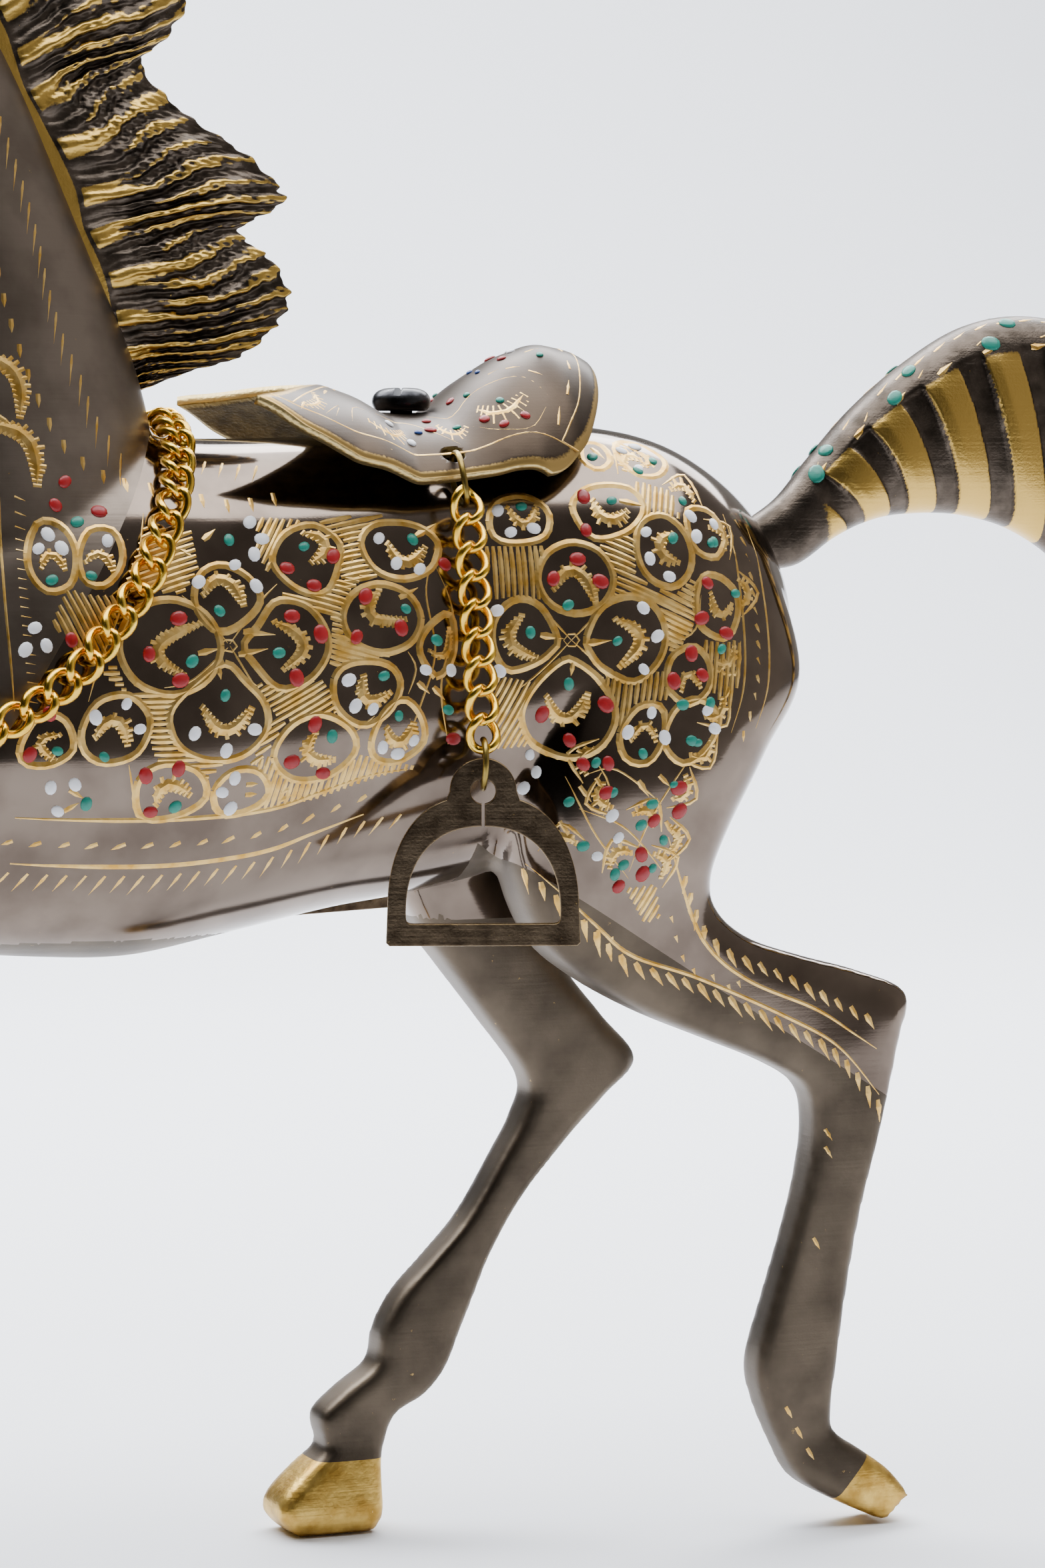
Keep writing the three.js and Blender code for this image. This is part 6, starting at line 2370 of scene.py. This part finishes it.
@dataclass
class Ornament:
    """The bright-cut flowers, borders and enamel drops all over the horse."""

    seed: int = 41

    def build(self, casting: bpy.types.Object, tail: bpy.types.Object) -> None:
        """Cuts everything.

        Args:
            casting: The finished casting.
            tail: The finished tail.
        """
        tree = skin_tree(casting)
        for side in Side:
            cuts, drops = Shell(), Shell()
            random = np.random.default_rng(self.seed)
            self.flank(Engraver(BarrelCanvas(tree, side), cuts, drops, random))
            self.sides(Engraver(SideCanvas(tree, 60.0 * side.value, -side.value), cuts, drops, random))
            self.finish(f"flank_{side.name.lower()}", cuts, drops)
        cuts, drops = Shell(), Shell()
        self.plate(Engraver(PlateCanvas(), cuts, drops, np.random.default_rng(self.seed), line_share=0.5, drop_share=0.7))
        self.finish("saddle", cuts, drops)
        tail_tree = skin_tree(tail)
        cuts, drops = Shell(), Shell()
        for side in Side:
            self.spine(Engraver(SideCanvas(tail_tree, 60.0 * side.value, -side.value), cuts, drops, np.random.default_rng(self.seed)))
        self.finish("tail", cuts, drops)

    def finish(self, name: str, cuts: Shell, drops: Shell) -> None:
        """Makes the pieces of one area.

        Args:
            name: The area.
            cuts: Its strokes.
            drops: Its enamel.
        """
        settle(cuts.piece(f"{name}_bright_cuts", [BRIGHT_CUT], smooth=False), "engraving")
        if drops.count:
            enamels = [RED_ENAMEL, WHITE_ENAMEL, GREEN_ENAMEL, BLUE_ENAMEL]
            settle(drops.piece(f"{name}_enamel", enamels), "enamel")

    def flank(self, engraver: Engraver) -> None:
        """Cuts the barrel's flowers, grounds and borders.

        Args:
            engraver: Who cuts them.
        """
        kept = [curve_through(loop, 0.5, True) for loop in FLANK_KEPT]
        for motif in (*SHOULDER_FLOWER, *LOIN_FLOWER, *FLANK_CELLS, FLANK_STEMS):
            motif.draw(engraver)
        for outline, turn in FLANK_GROUNDS:
            engraver.hatch(outline, turn, kept)
        belly = ((-44, -14.7), (-33, -14.8), (-20, -14.7), (-14, -13.4), (-9, -12), (-5, -11.6))
        engraver.stroke(belly, 0.6)
        engraver.stroke([(x, a - 4.1) for x, a in belly[:-1]], 0.6)
        engraver.ticks([(x, a - 2.1) for x, a in belly[:-1]], 2.7, 1.3, 200, 0.9)
        engraver.ticks([(x, a - 4.9) for x, a in belly], 1.9, 2.0, 232, 0.62)
        rear = ((29.6, 18), (30, 12), (30.2, 4), (29.8, -3), (28.4, -8))
        engraver.stroke(rear, 0.35)
        engraver.stroke([(x + 3, a) for x, a in rear], 0.35)
        engraver.ticks([(x + 1.5, a) for x, a in rear], 2.2, 1.1, 20, 0.8)
        shoulder = ((-44.4, 19), (-44.8, 8), (-44.4, -4))
        engraver.stroke(shoulder, 0.35)
        engraver.ticks([(x + 1.4, a) for x, a in shoulder], 1.1, 1.0, 74, 0.4)
        engraver.ticks(((-26, 25), (-17.6, 24)), 1.7, 2.4, 250, 0.5)

    def sides(self, engraver: Engraver) -> None:
        """Cuts the neck, the head, the thigh and the legs.

        Args:
            engraver: Who cuts them.
        """
        column = ((-44.5, 146), (-41.1, 136.6), (-39.2, 129.8), (-38.3, 124.8), (-37, 119.8), (-35.4, 116), (-34.1, 112.3), (-31.5, 108.5))
        for x, z in curve_through(column, 2.1):
            engraver.wedge((float(x), float(z)), (float(x) - 0.5, float(z) - 3.0), 0.45)
        punches = (
            (-47, 137), (-43.9, 127.4), (-42.9, 122.8), (-41.8, 118.8), (-40.5, 114.7), (-38.6, 110.4), (-36.8, 108.3),
            (-34.4, 106.7), (-32.1, 105.7), (-26.8, 104.7), (-21.5, 103.5), (-17, 104.1),
        )
        for x, z in curve_through(punches, 2.5):
            engraver.wedge((float(x), float(z) + 0.6), (float(x), float(z) - 0.7), 1.0)
        engraver.crescent([(-46, 117.4), (-42.9, 115.6), (-42.2, 112)], 1.8)
        engraver.crescent([(-45.4, 111), (-42, 109.4), (-41, 105.6)], 1.8)
        engraver.stroke([(-47, 113), (-43.4, 111.6), (-40.4, 107.2)], 0.5)
        throat = ((-58.6, 143), (-55.6, 130), (-58, 116), (-60, 103), (-60, 95))
        engraver.ticks(throat, 2.4, 1.6, 60, 0.6)
        engraver.stroke([(x + 1.8, z) for x, z in throat], 0.3)
        for height, middle in ((102, -52.8), (116, -51.4), (127.4, -51), (138, -53.4)):
            size = 4.2 if height < 110 else 3.3
            for turn in range(4):
                angle = math.pi / 4 + turn * math.pi / 2
                x, z = middle + 0.8 * size * math.cos(angle), height + 0.8 * size * math.sin(angle)
                away = np.array([math.cos(angle), math.sin(angle)])
                beside = np.array([-away[1], away[0]])
                spot = np.array([x, z])
                engraver.crescent([tuple(spot - 1.3 * beside), tuple(spot + 0.8 * away), tuple(spot + 1.3 * beside)], 1.1)
                engraver.drop(*(spot - 0.4 * away), Enamel.GREEN, 0.7)
                engraver.drop(*(spot + 1.6 * beside + 1.2 * away), Enamel.RED, 0.8)
                engraver.drop(*(spot - 1.8 * beside + 1.4 * away), Enamel.WHITE, 0.7)
            engraver.stroke(ring(middle, height, 1.7 * size, 1.7 * size), 0.4, 1.0, True)
        cheek = ((-61, 160), (-66, 150), (-72, 146), (-78, 142))
        engraver.ticks(cheek, 1.8, 1.2, 70, 0.5)
        engraver.stroke([(-60, 163), (-65, 158), (-71, 153), (-77.4, 147)], 0.35)
        engraver.ticks([(-61, 164.6), (-66, 160.4), (-71.6, 155)], 1.8, 1.1, 80, 0.5)
        for x, z, colour in ((-62.6, 153, Enamel.RED), (-65.4, 154.6, Enamel.WHITE), (-69.6, 149.6, Enamel.GREEN), (-74, 147.4, Enamel.RED)):
            engraver.drop(x, z, colour, 0.7)
        upper = ((22, 71), (24.1, 65.9), (27.3, 60), (32.3, 56.1), (39.9, 52.9), (44.4, 50.1), (46.9, 48.5))
        lower = ((8, 68.6), (15.2, 62.2), (19.2, 59.2), (26.7, 56.6), (36.1, 52.5), (42.5, 49), (47.3, 43.8))
        outer = ((24.4, 67), (26.9, 62), (29.8, 59.4), (33.5, 57.8), (37.3, 56.2), (41.8, 54), (45.6, 52.1))
        engraver.stroke(upper, 0.5)
        engraver.stroke(lower, 0.5)
        engraver.ticks(outer, 1.9, 1.9, -32, 1.0)
        engraver.ticks([(x - 0.1, z - 0.5) for x, z in lower], 1.9, 2.4, -32, 0.95)
        for x, z, turn in ((15.3, 75.4, 200), (19.2, 72.7, 60), (22.7, 75.9, -30), (17.1, 68.8, 120), (21.0, 68.1, 20), (24.9, 79.8, -60), (13.5, 78.7, 160), (11.1, 70.3, 100), (22.0, 70.7, 0), (26.3, 83.7, -50), (27.7, 88.9, -60), (20.9, 107.2, 110), (25.2, 104.2, 60), (28.0, 100.0, 30), (30.0, 94.7, 0)):
            self.leaf(engraver, np.array([x, z]), math.radians(turn))
        engraver.hatch(((17.6, 66.1), (21.1, 66.3), (21.9, 62.9), (20.1, 62.3)), 60, [])
        for x, z in ((15.2, 62.0), (16.7, 61.2), (13.8, 62.9), (23.8, 61.0), (24.7, 59.0), (26.0, 57.6), (28.2, 56.9), (30.0, 55.8), (31.1, 56.1), (23.1, 63.0), (24.9, 64.6)):
            engraver.wedge((x, z), (x + 0.3, z - 0.7), 0.9)
        fore = ((-60, 88), (-58, 76), (-57, 66), (-57, 58))
        engraver.stroke(fore, 0.4)
        engraver.stroke([(x + 5.4, z) for x, z in fore], 0.4)
        engraver.ticks([(x + 2.7, z) for x, z in fore], 2.2, 1.4, 30, 0.7)
        for x, z in ((41.4, 40.6), (41.4, 38.8), (40.2, 29.6), (37.2, 12.6), (38.4, 10.4), (39.6, 8.2), (-58.6, 40), (-58.4, 30)):
            engraver.wedge((x, z), (x + 0.7, z - 1.2), 0.8)

    def leaf(self, engraver: Engraver, spot: np.ndarray, angle: float) -> None:
        """Cuts one loose leaf with a green drop in its bend.

        Args:
            engraver: Who cuts it.
            spot: Its middle.
            angle: The way that it bulges, in radians.
        """
        away = np.array([math.cos(angle), math.sin(angle)])
        beside = np.array([-away[1], away[0]])
        engraver.crescent([tuple(spot - 1.2 * beside), tuple(spot + 0.7 * away), tuple(spot + 1.2 * beside)], 1.1)
        engraver.stroke([tuple(spot - 2.3 * beside), tuple(spot + 2.4 * away), tuple(spot + 2.3 * beside)], 0.5)
        engraver.drop(*(spot - 0.5 * away), Enamel.GREEN, 0.55)

    def plate(self, engraver: Engraver) -> None:
        """Cuts the saddle's rim lines, leaves and drops.

        Args:
            engraver: Who cuts them.
        """
        engraver.stroke(self.rim_line(1.9), 0.5, 1.0, True)
        engraver.ticks(self.rim_line(2.9), 3.1, 1.4, 8, 1.3)
        for sign in (-1, 1):
            for motif in SADDLE_LEAVES:
                motif.mirrored(sign).draw(engraver)

    def rim_line(self, inset: float) -> list[tuple[float, float]]:
        """Runs around the plate beside its rim.

        Args:
            inset: How far from the rim, in mm.

        Returns:
            Drawn x and y around it.
        """
        share = 1 - inset / SADDLE_HALF_WIDTH
        across = np.sin(np.linspace(-math.pi / 2, math.pi / 2, 25)) * share
        front, rear = saddle_ends(np.abs(across))
        width = across * SADDLE_HALF_WIDTH
        back = [(float(x) - inset, float(y)) for x, y in zip(rear, width)]
        notch = [(float(x) + 0.8 * inset, float(y)) for x, y in zip(front, width)]
        return back + notch[::-1]

    def spine(self, engraver: Engraver) -> None:
        """Cuts the strip along the tail's upper edge.

        Args:
            engraver: Who cuts it.
        """
        share = np.linspace(0.13, 0.93, 60)
        rows = smooth_rows(TAIL, share * (len(TAIL) - 1))

        def beside(inset: float) -> list[tuple[float, float]]:
            """Runs along the tail at a share of its depth."""
            return [(float(r[0] + (r[2] - r[0]) * inset), float(r[1] + (r[3] - r[1]) * inset)) for r in rows]

        engraver.ticks(beside(0.025), 2.6, 1.8, 4, 0.5)
        engraver.ticks(beside(0.15), 5.4, 1.9, 10, 1.0)
        engraver.ticks(beside(0.1), 7.5, 1.2, 20, 0.4)
        for inset, first, colour_radius in ((0.11, 0, 0.95), (0.03, 2, 0.8)):
            places = beside(inset)
            for place in range(first, len(places), 9):
                engraver.drop(*places[place], Enamel.GREEN, colour_radius)


def bezier(a: tuple, b: tuple, c: tuple, d: tuple, steps: int) -> list[tuple[float, float]]:
    """Points along a curve with two handles.

    Args:
        a: Its start.
        b: The start's handle.
        c: The end's handle.
        d: Its end.
        steps: How many steps there are.

    Returns:
        The points with both ends.
    """
    share = np.linspace(0, 1, steps + 1)[:, None]
    knots = np.array([a, b, c, d], float)
    line = (1 - share) ** 3 * knots[0] + 3 * share * (1 - share) ** 2 * knots[1]
    line = line + 3 * share ** 2 * (1 - share) * knots[2] + share ** 3 * knots[3]
    return [(float(x), float(y)) for x, y in line]


@dataclass
class Studio:
    """Camera, paper sweep and soft lights."""

    target: tuple[float, float, float] = (4.092, 0.0, 75.425)
    distance: float = 500.0
    azimuth: float = -22.0
    elevation: float = 4.0
    lens: float = 114.8
    card_bend: float = 0.35
    card_turn: float = 1.28
    card_sides: tuple[float, float] = (-0.04, 0.7)

    def build(self) -> None:
        """Sets up everything around the horse."""
        self.add_camera()
        self.add_sweep()
        self.add_lights()
        self.add_room()

    def add_camera(self) -> None:
        """Adds the camera at the photograph's angle."""
        data = bpy.data.cameras.new("viewpoint")
        data.lens = self.lens
        data.sensor_width = 36
        data.clip_start = 0.01
        camera = bpy.data.objects.new("viewpoint", data)
        turn = math.radians(self.azimuth)
        rise = math.radians(self.elevation)
        back = Vector((math.sin(turn) * math.cos(rise), -math.cos(turn) * math.cos(rise), math.sin(rise)))
        camera.location = (Vector(self.target) + back * self.distance) * MM
        camera.rotation_euler = (-back).to_track_quat("-Z", "Y").to_euler()
        bpy.context.scene.collection.objects.link(camera)
        bpy.context.scene.camera = camera

    def add_sweep(self) -> None:
        """Adds the paper floor and the low curved card behind the horse."""
        steps = np.linspace(0, self.card_turn, 32)
        left, right = self.card_sides
        rows = [
            (left, right, 0.5 + self.card_bend * math.sin(angle), self.card_bend * (1 - math.cos(angle)) - 0.0001)
            for angle in steps
        ]
        for name, profile in (
            ("paper_floor", [(-1.3, 1.3, -0.24, 0.0), (-1.3, 1.3, 1.3, 0.0)]),
            ("curved_paper_card", rows),
        ):
            points = []
            for start, end, y, z in profile:
                points += [(start, y, z), (end, y, z)]
            faces = [(2 * step, 2 * step + 1, 2 * step + 3, 2 * step + 2) for step in range(len(profile) - 1)]
            mesh = bpy.data.meshes.new(name)
            mesh.from_pydata(points, [], faces)
            mesh.materials.append(finish_material(SWEEP_PAPER))
            mesh.polygons.foreach_set("use_smooth", [True] * len(faces))
            paper = bpy.data.objects.new(name, mesh)
            paper.location.z = -0.0002
            bpy.context.scene.collection.objects.link(paper)

    def add_lights(self) -> None:
        """Adds the soft boxes."""
        for name, place, aim, size, power in (
            ("overhead_box", (0.0, 0.12, 0.62), (0.0, 0.05, 0.0), (0.9, 0.8), 14.0),
            ("rear_wash", (0.1, 0.42, 0.5), (0.1, 0.44, 0.0), (1.1, 0.3), 12.0),
        ):
            data = bpy.data.lights.new(name, "AREA")
            data.shape = "RECTANGLE"
            data.size, data.size_y = size
            data.energy = power
            data.color = (0.94, 0.965, 1.0)
            light = bpy.data.objects.new(name, data)
            light.location = place
            light.rotation_euler = (Vector(aim) - Vector(place)).to_track_quat("-Z", "Y").to_euler()
            bpy.context.scene.collection.objects.link(light)

    def add_room(self) -> None:
        """Adds a dim room that is a little lighter to the right."""
        world = bpy.data.worlds.new("dim_room")
        world.use_nodes = True
        tree = world.node_tree
        tree.nodes.clear()
        way = add_node(tree, "ShaderNodeTexCoord").outputs["Generated"]
        parts = add_node(tree, "ShaderNodeSeparateXYZ", links={"Vector": way})
        level = add_node(tree, "ShaderNodeMapRange", values={"From Min": -0.1, "From Max": 0.75}, links={"Value": parts.outputs["X"]})
        colour = add_node(
            tree, "ShaderNodeMix", {"data_type": "RGBA"}, {6: (0.012, 0.011, 0.01, 1), 7: (0.46, 0.435, 0.41, 1)},
            {0: level.outputs["Result"]},
        )
        shader = add_node(tree, "ShaderNodeBackground", values={"Strength": 1.0}, links={"Color": colour.outputs[2]})
        add_node(tree, "ShaderNodeOutputWorld", links={"Surface": shader.outputs["Background"]})
        bpy.context.scene.world = world


def main() -> None:
    """Builds the studio and every piece of the horse in order."""
    logging.basicConfig(level=logging.INFO, format="%(message)s")
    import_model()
    Studio().build()
    NeckChain().build()
    casting = Casting().build()
    Mane().build()
    tail = Tail().build()
    saddle = SaddlePlate()
    saddle.build()
    SaddleScrew().build()
    for side in Side:
        StirrupLeather(side).build(saddle)
    Ornament().build(casting, tail)


if __name__ == "__main__":
    main()
